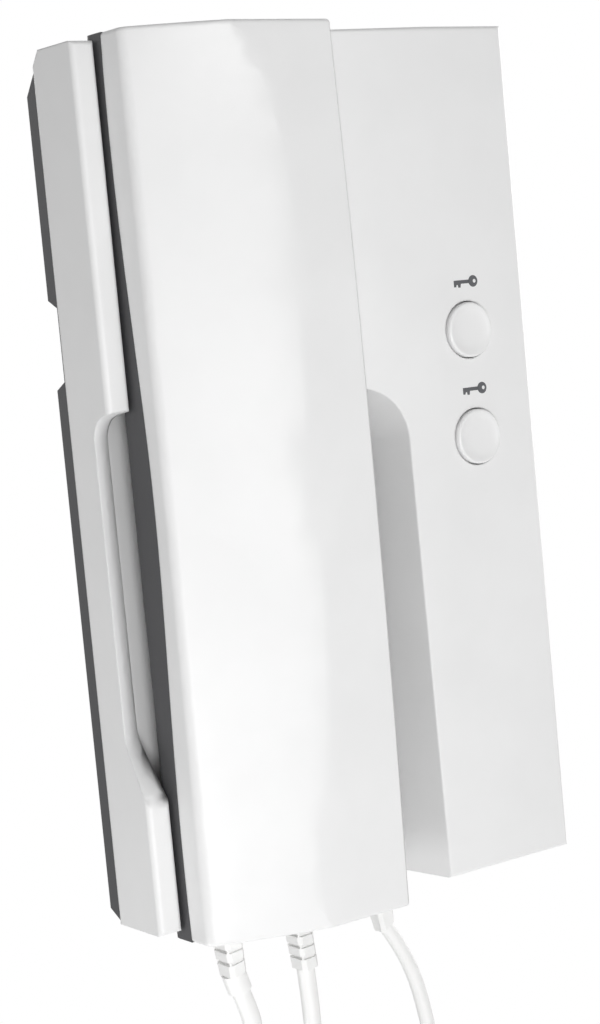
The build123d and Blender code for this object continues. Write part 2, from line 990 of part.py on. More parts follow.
# Circuit board, held on its bosses from behind
board_low = board_middle - board_height / 2
board_high = board_middle + board_height / 2
with BuildPart() as circuit_board:
    block(
        board_side - board_width / 2,
        board_side + board_width / 2,
        board_depth,
        board_front,
        board_low,
        board_high,
    )
    for x in boss_xs:
        for z in boss_zs:
            post(
                x,
                z,
                board_depth - overrun,
                board_front + overrun,
                board_screw_radius + screw_clearance,
                Mode.SUBTRACT,
            )
write(circuit_board, "circuit_board")

with BuildPart() as board_screws:
    for x in boss_xs:
        for z in boss_zs:
            post(x, z, board_depth - board_screw_head_height, board_depth, board_screw_head_radius)
            post(x, z, board_depth, board_depth + board_screw_length, board_screw_radius)
write(board_screws, "board_screws")

# Tactile switches under the buttons
switch_front = board_front + switch_body_height
plunger_front = switch_front + plunger_height
with BuildPart() as tact_switches:
    for z in button_heights:
        block(
            button_side - switch_body / 2,
            button_side + switch_body / 2,
            board_front,
            switch_front,
            z - switch_body / 2,
            z + switch_body / 2,
        )
        post(
            button_side,
            z,
            switch_front - plunger_sink - button_travel - seat_gap,
            switch_front + overrun,
            plunger_radius + plunger_clearance,
            Mode.SUBTRACT,
        )
        for side in (-1, 1):
            for end in (-1, 1):
                foot_side = button_side + side * (switch_body + switch_foot_length) / 2
                foot_height_here = z + end * switch_body / 3
                block(
                    foot_side - switch_foot_length / 2,
                    foot_side + switch_foot_length / 2,
                    board_front,
                    board_front + switch_foot_thickness,
                    foot_height_here - switch_foot_width / 2,
                    foot_height_here + switch_foot_width / 2,
                )
write(tact_switches, "tact_switches")

# Door release buttons with the plungers that they carry
cap_front = panel_depth + button_proud
cap_inside = cap_front - button_crown
flange_back = flange_front - button_flange_height
dome_reach = button_radius - button_edge
dome_radius = (dome_reach**2 + button_dome**2) / (2 * button_dome)
dome_centre = cap_front + button_dome - dome_radius
dome_middle = dome_centre + sqrt(dome_radius**2 - (dome_reach / 2) ** 2)
for name, z in zip(("upper", "lower"), button_heights):
    with BuildPart() as button:
        with BuildSketch(across(z)):
            with BuildLine():
                Polyline(
                    (button_side, cap_inside),
                    (button_side + button_radius - button_skirt_wall, cap_inside),
                    (button_side + button_radius - button_skirt_wall, flange_back),
                    (button_side + button_flange_radius, flange_back),
                    (button_side + button_flange_radius, flange_front),
                    (button_side + button_radius, flange_front),
                    (button_side + button_radius, cap_front - button_edge),
                    (button_side + button_radius - button_edge, cap_front),
                )
                ThreePointArc(
                    (button_side + button_radius - button_edge, cap_front),
                    (button_side + dome_reach / 2, dome_middle),
                    (button_side, cap_front + button_dome),
                )
                Line((button_side, cap_front + button_dome), (button_side, cap_inside))
            make_face()
        revolve(axis=Axis((button_side, 0, z), (0, -1, 0)))
        post(button_side, z, plunger_front, cap_inside + button_edge, button_stem_radius)
    write(button, f"{name}_button")
    with BuildPart() as switch_plunger:
        post(button_side, z, switch_front - plunger_sink, plunger_front, plunger_radius)
    write(switch_plunger, f"{name}_switch_plunger")

# Capacitors, transformer and terminals on the back of the board
with BuildPart() as capacitors:
    for x in (board_side - capacitor_spacing / 2, board_side + capacitor_spacing / 2):
        post(x, board_high - capacitor_inset, board_depth - capacitor_height, board_depth, capacitor_radius)
    tops = capacitors.faces().filter_by(Plane.XZ).sort_by(Axis.Y)[-2:]
    chamfer(tops.edges(), capacitor_edge)
write(capacitors, "capacitors")

with BuildPart() as line_transformer:
    block(
        board_side - transformer_width / 2,
        board_side + transformer_width / 2,
        board_depth - transformer_depth,
        board_depth,
        board_middle - transformer_height / 2,
        board_middle + transformer_height / 2,
    )
    for low in (
        board_middle - transformer_height / 2 - bobbin_proud,
        board_middle + transformer_height / 2,
    ):
        block(
            board_side - bobbin_width / 2,
            board_side + bobbin_width / 2,
            board_depth - transformer_depth + bobbin_proud,
            board_depth - bobbin_proud,
            low,
            low + bobbin_proud,
        )
write(line_transformer, "line_transformer")

terminal_width = terminal_count * terminal_pitch
terminal_low = board_low + terminal_inset
terminal_back = board_depth - terminal_depth
terminal_sides = []
for way in range(terminal_count):
    terminal_sides.append(board_side + terminal_pitch * (way - (terminal_count - 1) / 2))
with BuildPart() as terminal_block:
    block(
        board_side - terminal_width / 2,
        board_side + terminal_width / 2,
        terminal_back,
        board_depth,
        terminal_low,
        terminal_low + terminal_height,
    )
    for x in terminal_sides:
        block(
            x - terminal_mouth / 2,
            x + terminal_mouth / 2,
            board_depth - terminal_mouth * 2,
            board_depth - terminal_mouth,
            terminal_low - overrun,
            terminal_low + terminal_height / 2,
            Mode.SUBTRACT,
        )
        post(
            x,
            terminal_low + terminal_height / 2,
            terminal_back - overrun,
            terminal_back + terminal_screw_height + screw_clearance,
            terminal_screw_radius + screw_clearance,
            Mode.SUBTRACT,
        )
write(terminal_block, "terminal_block")

with BuildPart() as terminal_screws:
    for x in terminal_sides:
        post(
            x,
            terminal_low + terminal_height / 2,
            terminal_back + screw_clearance,
            terminal_back + screw_clearance + terminal_screw_height,
            terminal_screw_radius,
        )
write(terminal_screws, "terminal_screws")

# Chime speaker on the lower wall, facing down through the slots
speaker_face = base_bottom + wall
magnet_back = speaker_face + speaker_frame_height + speaker_magnet_height
with BuildPart() as chime_speaker:
    with BuildSketch(facing(speaker_depth)):
        with BuildLine():
            Polyline(
                (speaker_side, magnet_back),
                (speaker_side + speaker_magnet_radius, magnet_back),
                (speaker_side + speaker_magnet_radius, speaker_face + speaker_frame_height),
                (speaker_side + speaker_radius - speaker_rim, speaker_face + speaker_frame_height / 2),
                (speaker_side + speaker_radius, speaker_face + speaker_frame_height / 2),
                (speaker_side + speaker_radius, speaker_face),
                (speaker_side + speaker_radius - speaker_rim, speaker_face),
                (speaker_side + speaker_rim, speaker_face + speaker_frame_height / 2),
                (speaker_side, speaker_face + speaker_frame_height / 2),
                close=True,
            )
        make_face()
    revolve(axis=Axis((speaker_side, -speaker_depth, 0), (0, 0, 1)))
write(chime_speaker, "chime_speaker")

# Case screw from below
with BuildPart() as case_screw:
    with BuildSketch(across(base_bottom - case_screw_head_height)):
        with Locations((case_screw_side, case_screw_depth)):
            Circle(case_screw_head_radius)
    extrude(amount=-case_screw_head_height)
    with BuildSketch(across(base_bottom)):
        with Locations((case_screw_side, case_screw_depth)):
            Circle(case_screw_radius)
    extrude(amount=-case_screw_length)
write(case_screw, "case_screw")

# Handset sections from the bottom to the top, as shares of the sizes that they follow
section_height_shares = (0, 0.24, 0.5, 0.742, 0.888, 0.952, 1)
ridge_shares = (0.548, 0.598, 0.63, 0.65, 0.635, 0.555, 0.43)
drop_shares = (1, 0.3, 0, 0.15, 0.55, 0.8, 1)


def handset_form(inset):
    """The handset's smooth front form, or its inside when inset is the wall."""
    with BuildPart() as form:
        for height_share, ridge_share, drop_share in zip(section_height_shares, ridge_shares, drop_shares):
            height = handset_bottom + height_share * handset_length
            height = min(max(height, handset_bottom + inset), handset_top - inset)
            left = handset_left + inset
            right = handset_right - inset
            near = grip_depth - overrun
            left_depth = handset_left_depth - drop_share * handset_left_end_drop - inset * left_inset_share
            front_depth = handset_front_depth - drop_share * handset_end_drop - inset
            ridge = handset_left + ridge_share * handset_width
            with BuildSketch(across(height)):
                with BuildLine():
                    Polyline(
                        (left, left_depth),
                        (left, near),
                        (right, near),
                        (right, front_depth),
                        (ridge, front_depth),
                    )
                    ThreePointArc(
                        (ridge, front_depth),
                        ((ridge + left) / 2, (front_depth + left_depth) / 2 + facet_bulge),
                        (left, left_depth),
                    )
                outline = make_face()
                front_corners = outline.vertices().filter_by(lambda v: v.Y > near + wall).sort_by(Axis.X)
                fillet(front_corners[0], left_edge_round - inset)
                fillet(front_corners[1], ridge_round)
                fillet(front_corners[2], right_edge_round - inset * right_inset_share)
        loft()
    return form.part


def below_parting(depth_gap):
    """Everything nearer the wall than the parting line, less a gap, over the handset's width."""
    low = parting_low_depth - depth_gap
    middle = parting_middle_depth - depth_gap
    high = parting_high_depth - depth_gap
    with BuildPart() as below:
        with BuildSketch(beside(handset_left - overrun)):
            with BuildLine():
                Spline(
                    (low, handset_bottom - overrun),
                    (low + parting_lift, handset_bottom + low_share * handset_length),
                    (middle, handset_bottom + middle_share * handset_length),
                    (high + parting_lift, handset_bottom + high_share * handset_length),
                    (high, handset_top + overrun),
                )
                Polyline(
                    (high, handset_top + overrun),
                    (0, handset_top + overrun),
                    (0, handset_bottom - overrun),
                    (low, handset_bottom - overrun),
                )
            make_face()
        extrude(amount=-(handset_width + 2 * overrun))
    return below.part


def lobe(middle, width, high, corner, inset):
    """A rounded lobe of the handset's back, or its inside when inset is the wall."""
    with BuildPart() as form:
        for depth, narrow in ((lobe_depth + inset, lobe_taper), (grip_depth + end_slope / 2, 0)):
            with BuildSketch(facing(depth)):
                with Locations((handset_middle, middle)):
                    RectangleRounded(
                        width - 2 * (inset + narrow),
                        high - 2 * (inset + narrow),
                        corner - inset - narrow,
                    )
        loft(ruled=True)
        back = form.faces().sort_by(Axis.Y)[-1]
        fillet(back.edges(), lobe_edge_round - inset / 2)
    return form.part


ear_middle = base_top - (ear_lobe_low_drop + ear_lobe_high_drop) / 2
mouth_middle = base_bottom + (mouth_lobe_low + mouth_lobe_high) / 2


def back_form(inset):
    """The handset's back with both lobes, or its inside when inset is the wall."""
    with BuildPart() as form:
        with BuildSketch(beside(handset_left + inset)):
            with BuildLine():
                Polyline(
                    (end_depth + inset, handset_bottom + inset),
                    (grip_depth + inset, handset_bottom + end_slope),
                    (grip_depth + inset, handset_top - end_slope),
                    (end_depth + inset, handset_top - inset),
                    (parting_middle_depth + overrun, handset_top - inset),
                    (parting_middle_depth + overrun, handset_bottom + inset),
                    close=True,
                )
            make_face()
        extrude(amount=-(handset_width - 2 * inset))
        with BuildSketch(across(handset_bottom)) as outline:
            with Locations((handset_middle, (grip_depth + parting_middle_depth) / 2)):
                Rectangle(handset_width - 2 * inset, parting_middle_depth + 2 * overrun - grip_depth - inset)
            fillet(outline.vertices().group_by(Axis.Y)[0], rear_edge_round - inset)
        extrude(amount=-handset_length, mode=Mode.INTERSECT)
        add(lobe(ear_middle, ear_lobe_width, ear_lobe_low_drop - ear_lobe_high_drop, ear_lobe_corner, inset))
        add(lobe(mouth_middle, mouth_lobe_width, mouth_lobe_high - mouth_lobe_low, mouth_lobe_corner, inset))
    return form.part


# Screws that join the handset's shells, from the back
screw_heights = (base_top - handset_screw_drop, base_bottom + handset_screw_rise)
screw_seat = grip_depth + screw_well_depth
rear_boss_front = screw_seat + screw_well_floor
front_boss_back = rear_boss_front + seat_gap

# Space inside the front shell, less the bosses that stay in it
with BuildPart() as front_space:
    add(handset_form(wall))
    for z in screw_heights:
        post(handset_middle, z, front_boss_back, handset_front_depth, front_boss_radius, Mode.SUBTRACT)

with BuildPart() as front_trim:
    add(below_parting(0))
    for z in screw_heights:
        post(handset_middle, z, front_boss_back, handset_front_depth, front_boss_radius, Mode.SUBTRACT)

# Front shell of the handset
with BuildPart() as handset_front_shell:
    add(handset_form(0))
    end_faces = handset_front_shell.faces().filter_by(Axis.Z)
    end_edges = end_faces.edges().filter_by(lambda e: -e.center().Y > parting_middle_depth)
    fillet(end_edges, end_edge_round)
    add(front_space.part, mode=Mode.SUBTRACT)
    add(front_trim.part, mode=Mode.SUBTRACT)
    for z in screw_heights:
        post(
            handset_middle,
            z,
            front_boss_back - overrun,
            screw_seat + handset_screw_length + overrun,
            handset_screw_radius + screw_clearance,
            Mode.SUBTRACT,
        )
    # Notch of the strain relief in the lower end
    block(
        handset_boot_side - boot_width / 2 - boot_fit,
        handset_boot_side + boot_width / 2 + boot_fit,
        parting_low_depth - overrun,
        handset_boot_depth + boot_thickness / 2 + boot_fit,
        handset_bottom - overrun,
        handset_bottom + wall + overrun,
        Mode.SUBTRACT,
    )
write(handset_front_shell, "handset_front_shell")

# Rear shell of the handset
ear_face = lobe_depth + wall
with BuildPart() as handset_rear_shell:
    add(back_form(0))
    add(back_form(wall), mode=Mode.SUBTRACT)
    add(below_parting(parting_gap), mode=Mode.INTERSECT)
    # Wells and bosses of the shell screws
    for z in screw_heights:
        post(handset_middle, z, grip_depth, rear_boss_front, screw_boss_radius)
        post(
            handset_middle,
            z,
            grip_depth - overrun,
            screw_seat,
            handset_screw_head_radius + seat_gap,
            Mode.SUBTRACT,
        )
        post(
            handset_middle,
            z,
            screw_seat - overrun,
            rear_boss_front + overrun,
            handset_screw_radius + screw_clearance,
            Mode.SUBTRACT,
        )
    # Rings that hold the receiver and the microphone
    tube(
        handset_middle,
        ear_middle,
        ear_face - overrun,
        ear_face + receiver_ring_height,
        receiver_radius + seat_gap + receiver_ring_wall,
        receiver_radius + seat_gap,
    )
    tube(
        handset_middle,
        mouth_middle,
        ear_face - overrun,
        ear_face + mouth_ring_height,
        microphone_radius + grommet_wall + seat_gap + mouth_ring_wall,
        microphone_radius + grommet_wall + seat_gap,
    )
    # Slots of the receiver, shorter towards the edge of a circle, and of the microphone
    for slot in range(ear_slot_count):
        rise_here = ear_slot_pitch * (slot - (ear_slot_count - 1) / 2)
        reach_here = sqrt(ear_grille_radius**2 - rise_here**2)
        block(
            handset_middle - reach_here,
            handset_middle + reach_here,
            lobe_depth - overrun,
            ear_face + overrun,
            ear_middle + rise_here - ear_slot_width / 2,
            ear_middle + rise_here + ear_slot_width / 2,
            Mode.SUBTRACT,
        )
    block(
        handset_middle - mouth_slot_length / 2,
        handset_middle + mouth_slot_length / 2,
        lobe_depth - overrun,
        ear_face + overrun,
        mouth_middle - mouth_slot_width / 2,
        mouth_middle + mouth_slot_width / 2,
        Mode.SUBTRACT,
    )
    # Notch of the strain relief in the lower end
    block(
        handset_boot_side - boot_width / 2 - boot_fit,
        handset_boot_side + boot_width / 2 + boot_fit,
        handset_boot_depth - boot_thickness / 2 - boot_fit,
        parting_low_depth + overrun,
        handset_bottom - overrun,
        handset_bottom + wall + overrun,
        Mode.SUBTRACT,
    )
write(handset_rear_shell, "handset_rear_shell")

with BuildPart() as handset_screws:
    for z in screw_heights:
        post(handset_middle, z, screw_seat - handset_screw_head_height, screw_seat, handset_screw_head_radius)
        post(handset_middle, z, screw_seat, screw_seat + handset_screw_length, handset_screw_radius)
write(handset_screws, "handset_screws")

# Receiver on its gasket in the ear lobe
receiver_back = ear_face + gasket_height
with BuildPart() as receiver_gasket:
    tube(handset_middle, ear_middle, ear_face, receiver_back, receiver_radius, receiver_radius - gasket_wall)
write(receiver_gasket, "receiver_gasket")

with BuildPart() as receiver_capsule:
    post(handset_middle, ear_middle, receiver_back, receiver_back + receiver_height, receiver_radius)
    post(
        handset_middle,
        ear_middle,
        receiver_back + receiver_height,
        receiver_back + receiver_height + receiver_magnet_height,
        receiver_magnet_radius,
    )
    capsule_rims = receiver_capsule.edges().filter_by(GeomType.CIRCLE).filter_by(
        lambda e: e.radius > receiver_magnet_radius + wall
    )
    chamfer(capsule_rims, receiver_chamfer)
    # Sound holes towards the ear
    with BuildSketch(facing(receiver_back - overrun)):
        with Locations((handset_middle, ear_middle)):
            with PolarLocations(receiver_hole_ring, receiver_hole_count):
                Circle(receiver_hole_radius)
    extrude(amount=receiver_hole_depth + overrun, mode=Mode.SUBTRACT)
write(receiver_capsule, "receiver_capsule")

# Microphone in its rubber cup in the mouth lobe
with BuildPart() as microphone_grommet:
    post(handset_middle, mouth_middle, ear_face, ear_face + grommet_height, microphone_radius + grommet_wall)
    post(
        handset_middle,
        mouth_middle,
        ear_face + grommet_floor,
        ear_face + grommet_height + overrun,
        microphone_radius + screw_clearance,
        Mode.SUBTRACT,
    )
    post(
        handset_middle,
        mouth_middle,
        ear_face - overrun,
        ear_face + grommet_floor + overrun,
        grommet_bore_radius,
        Mode.SUBTRACT,
    )
write(microphone_grommet, "microphone_grommet")

with BuildPart() as microphone:
    post(
        handset_middle,
        mouth_middle,
        ear_face + grommet_floor,
        ear_face + grommet_floor + microphone_height,
        microphone_radius,
    )
    microphone_rims = microphone.edges().filter_by(GeomType.CIRCLE)
    chamfer(microphone_rims, microphone_edge)
write(microphone, "microphone")

# Strain reliefs: a root in the wall's notch, a flange inside it and a tapered body bent with its cord

def tip_of(side, depth, face, length, lean):
    """The middle of a strain relief's tip."""
    return Vector(side + length * tan(radians(lean)), -depth, face - length)


def way_of(lean):
    """The direction in which a cord leaves a tip that leans to the right."""
    return Vector(sin(radians(lean)), 0, -cos(radians(lean)))


def tip_plane(tip, lean):
    """A plane square to that direction, with X to the right and depth upwards."""
    return Plane(origin=tip, x_dir=(cos(radians(lean)), 0, sin(radians(lean))), z_dir=way_of(lean))


boots = (
    ("handset_cord_boot", handset_boot_side, handset_boot_depth, handset_bottom, handset_boot_length,
     boot_width, boot_tip_width, boot_tip_thickness, boot_lean, handset_boot_tip_lean, handset_boot_slits,
     handset_boot_neck),
    ("base_cord_boot", base_boot_side, base_boot_depth, base_bottom, base_boot_length,
     boot_width, boot_tip_width, boot_tip_thickness, boot_lean, base_boot_tip_lean, base_boot_slits, 0),
    ("line_cable_boot", line_boot_side, base_boot_depth, base_bottom, line_boot_length,
     line_boot_width, line_boot_tip_width, line_boot_tip_thickness, line_boot_lean, line_boot_tip_lean,
     line_boot_slits, 0),
)
tips = {}
for name, side, depth, face, length, width, tip_width, tip_thickness, lean, tip_lean, slits, neck in boots:
    tip = tip_of(side, depth, face, length, lean)
    tips[name] = (tip + way_of(tip_lean) * neck, way_of(tip_lean))
    with BuildPart() as boot:
        with BuildSketch(across(face)):
            with Locations((side, depth)):
                outline = Rectangle(width, boot_thickness)
            chamfer(outline.vertices(), boot_corner)
        with BuildSketch(tip_plane(tip, tip_lean)):
            outline = Rectangle(tip_width, tip_thickness)
            chamfer(outline.vertices(), boot_corner)
        loft(ruled=True)
        if neck:
            with BuildSketch(tip_plane(tip, tip_lean)):
                Circle(neck_diameter / 2)
            extrude(amount=neck)
        block(
            side - width / 2,
            side + width / 2,
            depth - boot_thickness / 2,
            depth + boot_thickness / 2,
            face,
            face + wall,
        )
        block(
            side - boot_flange_width / 2,
            side + boot_flange_width / 2,
            depth - boot_flange_thickness / 2,
            depth + boot_flange_thickness / 2,
            face + wall,
            face + wall + boot_flange_height,
        )
        # Slits on the four faces, which leave the corners whole
        for slit in range(slits):
            back = boot_slit_last + slit * boot_slit_pitch
            share = back / length
            middle = tip + (Vector(side, -depth, face) - tip) * share
            leaned = tip_lean * (1 - share)
            here_width = tip_width + (width - tip_width) * share
            here_thickness = tip_thickness + (boot_thickness - tip_thickness) * share
            with BuildSketch(tip_plane(middle, leaned)):
                for turn in (-1, 1):
                    with Locations((turn * here_width / 2, 0)):
                        Rectangle(2 * boot_slit_sink, here_thickness * boot_slit_width_share)
                    with Locations((0, turn * here_thickness / 2)):
                        Rectangle(here_width * boot_slit_width_share, 2 * boot_slit_sink)
            extrude(amount=boot_slit_height, mode=Mode.SUBTRACT)
    write(boot, name)

# Curly handset cord: its curls follow two legs and the bend between them
cord_start, cord_start_way = tips["handset_cord_boot"]
cord_end, cord_end_way = tips["base_cord_boot"]
curl_top = handset_bottom - handset_boot_length - cord_drop
leg_one = Vector(cord_start.X + cord_side_shift, cord_start.Y, curl_top)
second_top = curl_top - (first_leg_curls - second_leg_curls) * leg_pitch
leg_two = Vector(base_boot_side + leg_shift, cord_end.Y, second_top)
between = Vector(leg_two.X - leg_one.X, leg_two.Y - leg_one.Y, 0)
bend_radius = between.length / 2
inward = between.normalized()
outward = inward.cross(Vector(0, 0, 1))
bend_top = curl_top - run_in_height - first_leg_curls * leg_pitch
leg_length = curl_top - bend_top
second_length = leg_two.Z - bend_top
bend_length = pi * bend_radius
run_in_turns = run_in_curls + first_leg_curls
all_turns = run_in_turns + bend_curls + second_leg_curls + run_in_curls


def smooth(share):
    """Rises from 0 to 1 without a kink."""
    share = min(max(share, 0), 1)
    return share * share * (3 - 2 * share)


def along(turns):
    """How far the cord's axis has come after so many turns from the start of a leg."""
    if turns < run_in_curls:
        return run_in_height * turns / run_in_curls
    return run_in_height + (turns - run_in_curls) * leg_pitch


def cord_spot(turns):
    """A point of the curly cord's centreline, by the number of turns from its start."""
    if turns < run_in_turns:
        far = along(turns)
        middle = leg_one - Vector(0, 0, far)
        aside = inward
    elif turns < run_in_turns + bend_curls:
        angle = pi * (turns - run_in_turns) / bend_curls
        middle = Vector(leg_one.X, leg_one.Y, bend_top) + inward * bend_radius * (1 - cos(angle))
        middle = middle - Vector(0, 0, bend_radius * sin(angle))
        aside = inward * cos(angle) + Vector(0, 0, sin(angle))
    else:
        far = along(all_turns - turns)
        middle = leg_two - Vector(0, 0, far)
        aside = -inward
    radius = curl_radius * min(smooth(turns / run_in_curls), smooth((all_turns - turns) / run_in_curls))
    angle = 2 * pi * turns
    return middle + (aside * cos(angle) + outward * sin(angle)) * radius


def cord_way(turns):
    """The direction of the centreline there."""
    step = 1 / 1000
    if turns <= 0:
        return Vector(0, 0, -1)
    if turns >= all_turns:
        return Vector(0, 0, 1)
    return (cord_spot(turns + step) - cord_spot(turns - step)).normalized()


with BuildLine() as cord_path:
    straight_end = cord_start + cord_start_way * cord_wire
    Line(cord_start, straight_end)
    two_arcs(straight_end, cord_start_way, cord_spot(0), Vector(0, 0, -1))
    for half in range(2 * all_turns):
        two_arcs(cord_spot(half / 2), cord_way(half / 2), cord_spot((half + 1) / 2), cord_way((half + 1) / 2))
    straight_start = cord_end + cord_end_way * cord_wire
    two_arcs(cord_spot(all_turns), Vector(0, 0, 1), straight_start, -cord_end_way)
    Line(straight_start, cord_end)
with BuildPart() as handset_cord:
    with BuildSketch(Plane(origin=cord_start, z_dir=cord_start_way)):
        RegularPolygon(cord_wire / 2, cord_sides)
    sweep(path=cord_path.wire(), clean=False)
write(handset_cord, "handset_cord")


def least_self_gap(path, diameter, apart):
    """The least gap of a tube to itself, between points that lie at least so far apart along it."""
    spots = []
    far = 0
    for edge in path.edges():
        count = ceil(edge.length / (diameter / 4))
        for number in range(count):
            spots.append((far + edge.length * number / count, edge.position_at(number / count)))
        far += edge.length
    least = far
    for number, (here, spot) in enumerate(spots):
        for there, other in spots[number + 1:]:
            if there - here > apart:
                least = min(least, (other - spot).length - diameter)
    return least


cord_length = sum(edge.length for edge in cord_path.edges())
wire_area = cord_sides * (cord_wire / 2) ** 2 * sin(2 * pi / cord_sides) / 2
print("handset cord: centreline", cord_length, "turns", all_turns)
print("handset cord: volume", handset_cord.part.volume, "section times length", wire_area * cord_length)
print("handset cord: tightest arc", min(e.radius for e in cord_path.edges().filter_by(GeomType.CIRCLE)))
print("handset cord: least gap to itself", least_self_gap(cord_path, cord_wire, pi * curl_radius))

# Line cable, hanging from its strain relief
cable_start, cable_way = tips["line_cable_boot"]
cable_points = [cable_start, cable_start + cable_way * cable_first_run]
for side, height in cable_places:
    cable_points.append(Vector(side, cable_start.Y, height))
cable_radii = []
for before, here, after in zip(cable_points, cable_points[1:], cable_points[2:]):
    turn = radians((here - before).get_angle(after - here))
    shorter = min((here - before).length, (after - here).length)
    cable_radii.append(cable_arc_share * shorter / tan(turn / 2))
with BuildLine() as cable_path:
    FilletPolyline(*cable_points, radius=cable_radii)
with BuildPart() as line_cable:
    with BuildSketch(Plane(origin=cable_start, z_dir=cable_way)):
        Circle(cable_diameter / 2)
    sweep(path=cable_path.wire())
write(line_cable, "line_cable")
cable_length = sum(edge.length for edge in cable_path.edges())
print("line cable: centreline", cable_length, "least arc radius", min(cable_radii))
cable_area = pi * cable_diameter**2 / 4
print("line cable: volume", line_cable.part.volume, "section times length", cable_area * cable_length)

# Plug on the line cable
plug_top = cable_points[-1]
with BuildPart() as line_plug:
    block(
        plug_top.X - plug_width / 2,
        plug_top.X + plug_width / 2,
        -plug_top.Y - plug_thickness / 2,
        -plug_top.Y + plug_thickness / 2,
        plug_top.Z - plug_length,
        plug_top.Z,
    )
    upper_edges = line_plug.edges().group_by(Axis.Z)[-1]
    chamfer(upper_edges, plug_key_height)
    block(
        plug_top.X - plug_key_width / 2,
        plug_top.X + plug_key_width / 2,
        -plug_top.Y + plug_thickness / 2,
        -plug_top.Y + plug_thickness / 2 + plug_key_height,
        plug_top.Z - plug_length,
        plug_top.Z - plug_length / 3,
    )
    with BuildSketch(across(plug_top.Z - plug_length - overrun)):
        with Locations((plug_top.X, -plug_top.Y)):
            with GridLocations(plug_way_pitch, 0, plug_ways, 1):
                Rectangle(plug_way_width, plug_thickness / 2)
    extrude(amount=-(plug_way_depth + overrun), mode=Mode.SUBTRACT)
write(line_plug, "line_plug")
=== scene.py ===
import bpy
import bmesh
from math import cos, pi, radians, sin
from mathutils import Matrix, Vector


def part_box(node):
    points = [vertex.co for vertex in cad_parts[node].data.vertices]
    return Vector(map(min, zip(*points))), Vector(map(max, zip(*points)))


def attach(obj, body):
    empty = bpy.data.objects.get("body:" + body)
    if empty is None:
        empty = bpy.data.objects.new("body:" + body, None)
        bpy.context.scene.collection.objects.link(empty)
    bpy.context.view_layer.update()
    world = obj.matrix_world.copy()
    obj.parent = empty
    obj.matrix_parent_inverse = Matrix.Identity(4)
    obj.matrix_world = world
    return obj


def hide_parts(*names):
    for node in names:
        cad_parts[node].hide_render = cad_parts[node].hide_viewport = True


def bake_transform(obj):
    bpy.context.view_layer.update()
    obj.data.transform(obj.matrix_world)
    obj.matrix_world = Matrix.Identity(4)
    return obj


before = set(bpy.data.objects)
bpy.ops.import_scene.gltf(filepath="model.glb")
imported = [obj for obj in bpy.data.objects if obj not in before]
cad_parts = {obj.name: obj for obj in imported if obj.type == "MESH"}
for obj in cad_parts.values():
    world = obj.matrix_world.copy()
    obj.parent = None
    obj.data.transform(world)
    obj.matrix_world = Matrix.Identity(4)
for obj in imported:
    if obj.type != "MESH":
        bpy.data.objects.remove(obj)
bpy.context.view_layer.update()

bl_info = {
    "name": "Audio intercom handset",
    "version": (1, 0, 0),
    "blender": (4, 5, 0),
    "location": "View3D > Sidebar > Intercom",
    "description": "Dresses the wall intercom with finishes, cords, release caps and key symbols",
    "category": "Object",
}

MM = 0.001

# Camera: its turn, lift and roll in degrees, its place in metres, its lens and sensor in
# millimetres, and how near it sees in metres
CAMERA_TURN = -35.028
CAMERA_LIFT = 5.372
CAMERA_ROLL = -5.347
CAMERA_PLACE = (-0.3275, -0.4828, 0.0423)
CAMERA_LENS = 78.685
CAMERA_SENSOR = 36.0
CAMERA_NEAR = 0.02
# Strength of the white surroundings as light on the object, where 1 is white
ROOM_LEVEL = 0.33
# Round lamps that face the origin: place and diameter in metres, and power in watts
LAMPS = (
    ("key light", (-0.37, -0.68, -0.24), 0.3, 2.6),
    ("soft front light", (-0.06, -1.30, -0.04), 0.35, 3.2),
    ("low fill light", (-0.24, 0.03, -0.27), 0.12, 0.22),
    ("light at the right", (1.20, 0.25, 0.20), 0.8, 7.0),
    ("light behind", (0.25, 1.40, 0.25), 0.8, 7.0),
)
# Floor: its height, how far it reaches from the middle in metres, and its cells along a side
FLOOR_HEIGHT = -0.62
FLOOR_REACH = 3.0
FLOOR_CELLS = 8

# Moulded plastic: size of its faint cloudiness, the noise levels between which that turns, and how
# much darker it is in them
CLOUD_SIZE = 25 * MM
CLOUD_LEVELS = (0.35, 0.65)
CLOUD_TINT = 0.03
# How far roughness swings with the grain, and the grain's height as a share of its size
PLASTIC_SWING = 0.05
GRAIN_HEIGHT = 0.2
PLASTIC_IOR = 1.52
# Cosines of the turn at which an edge starts to be polished and is fully so, and how far that goes
EDGE_STARTS = 0.995
EDGE_FULL = 0.86
EDGE_POLISH = 0.12
# Lines on turned or drawn metal: about 1.1 mm apart, coarser than real ones, so that they show
METAL_LINES_PER_METRE = 900.0
METAL_SWING = 0.08
METAL_BUMP = 0.08
METAL_HEIGHT = 0.1 * MM

# Merged skins: how near points are joined, the folds that stay smooth on curves, in the finger
# scoop and between large faces, what counts as large, and the weight of large faces in shading
MERGE_REACH = 0.002 * MM
CURVE_FOLD = radians(28)
SCOOP_FOLD = radians(80)
FACET_FOLD = radians(2.5)
LARGE_FACE = 25 * MM * MM
EVEN_WEIGHT = 80
# Box of the finger scoop in the rail in millimetres
SCOOP = ((-58.6, -23.9, -76.3), (-51.9, -9.5, 20.2))
# The scoop's sides, the depths of its floor there in CAD, and how far that floor bows between them
SCOOP_SIDES = (-58.5, -52.0)
SCOOP_DEPTHS = (16.2, 12.7)
SCOOP_BOW = 0.35
# Depths of the rail's front, of its core, and of the lowest edge of the scoop's rolled floor
RAIL_DEPTH = 24.0
SCOOP_CORE = 11.2
SCOOP_LOW = 11.5
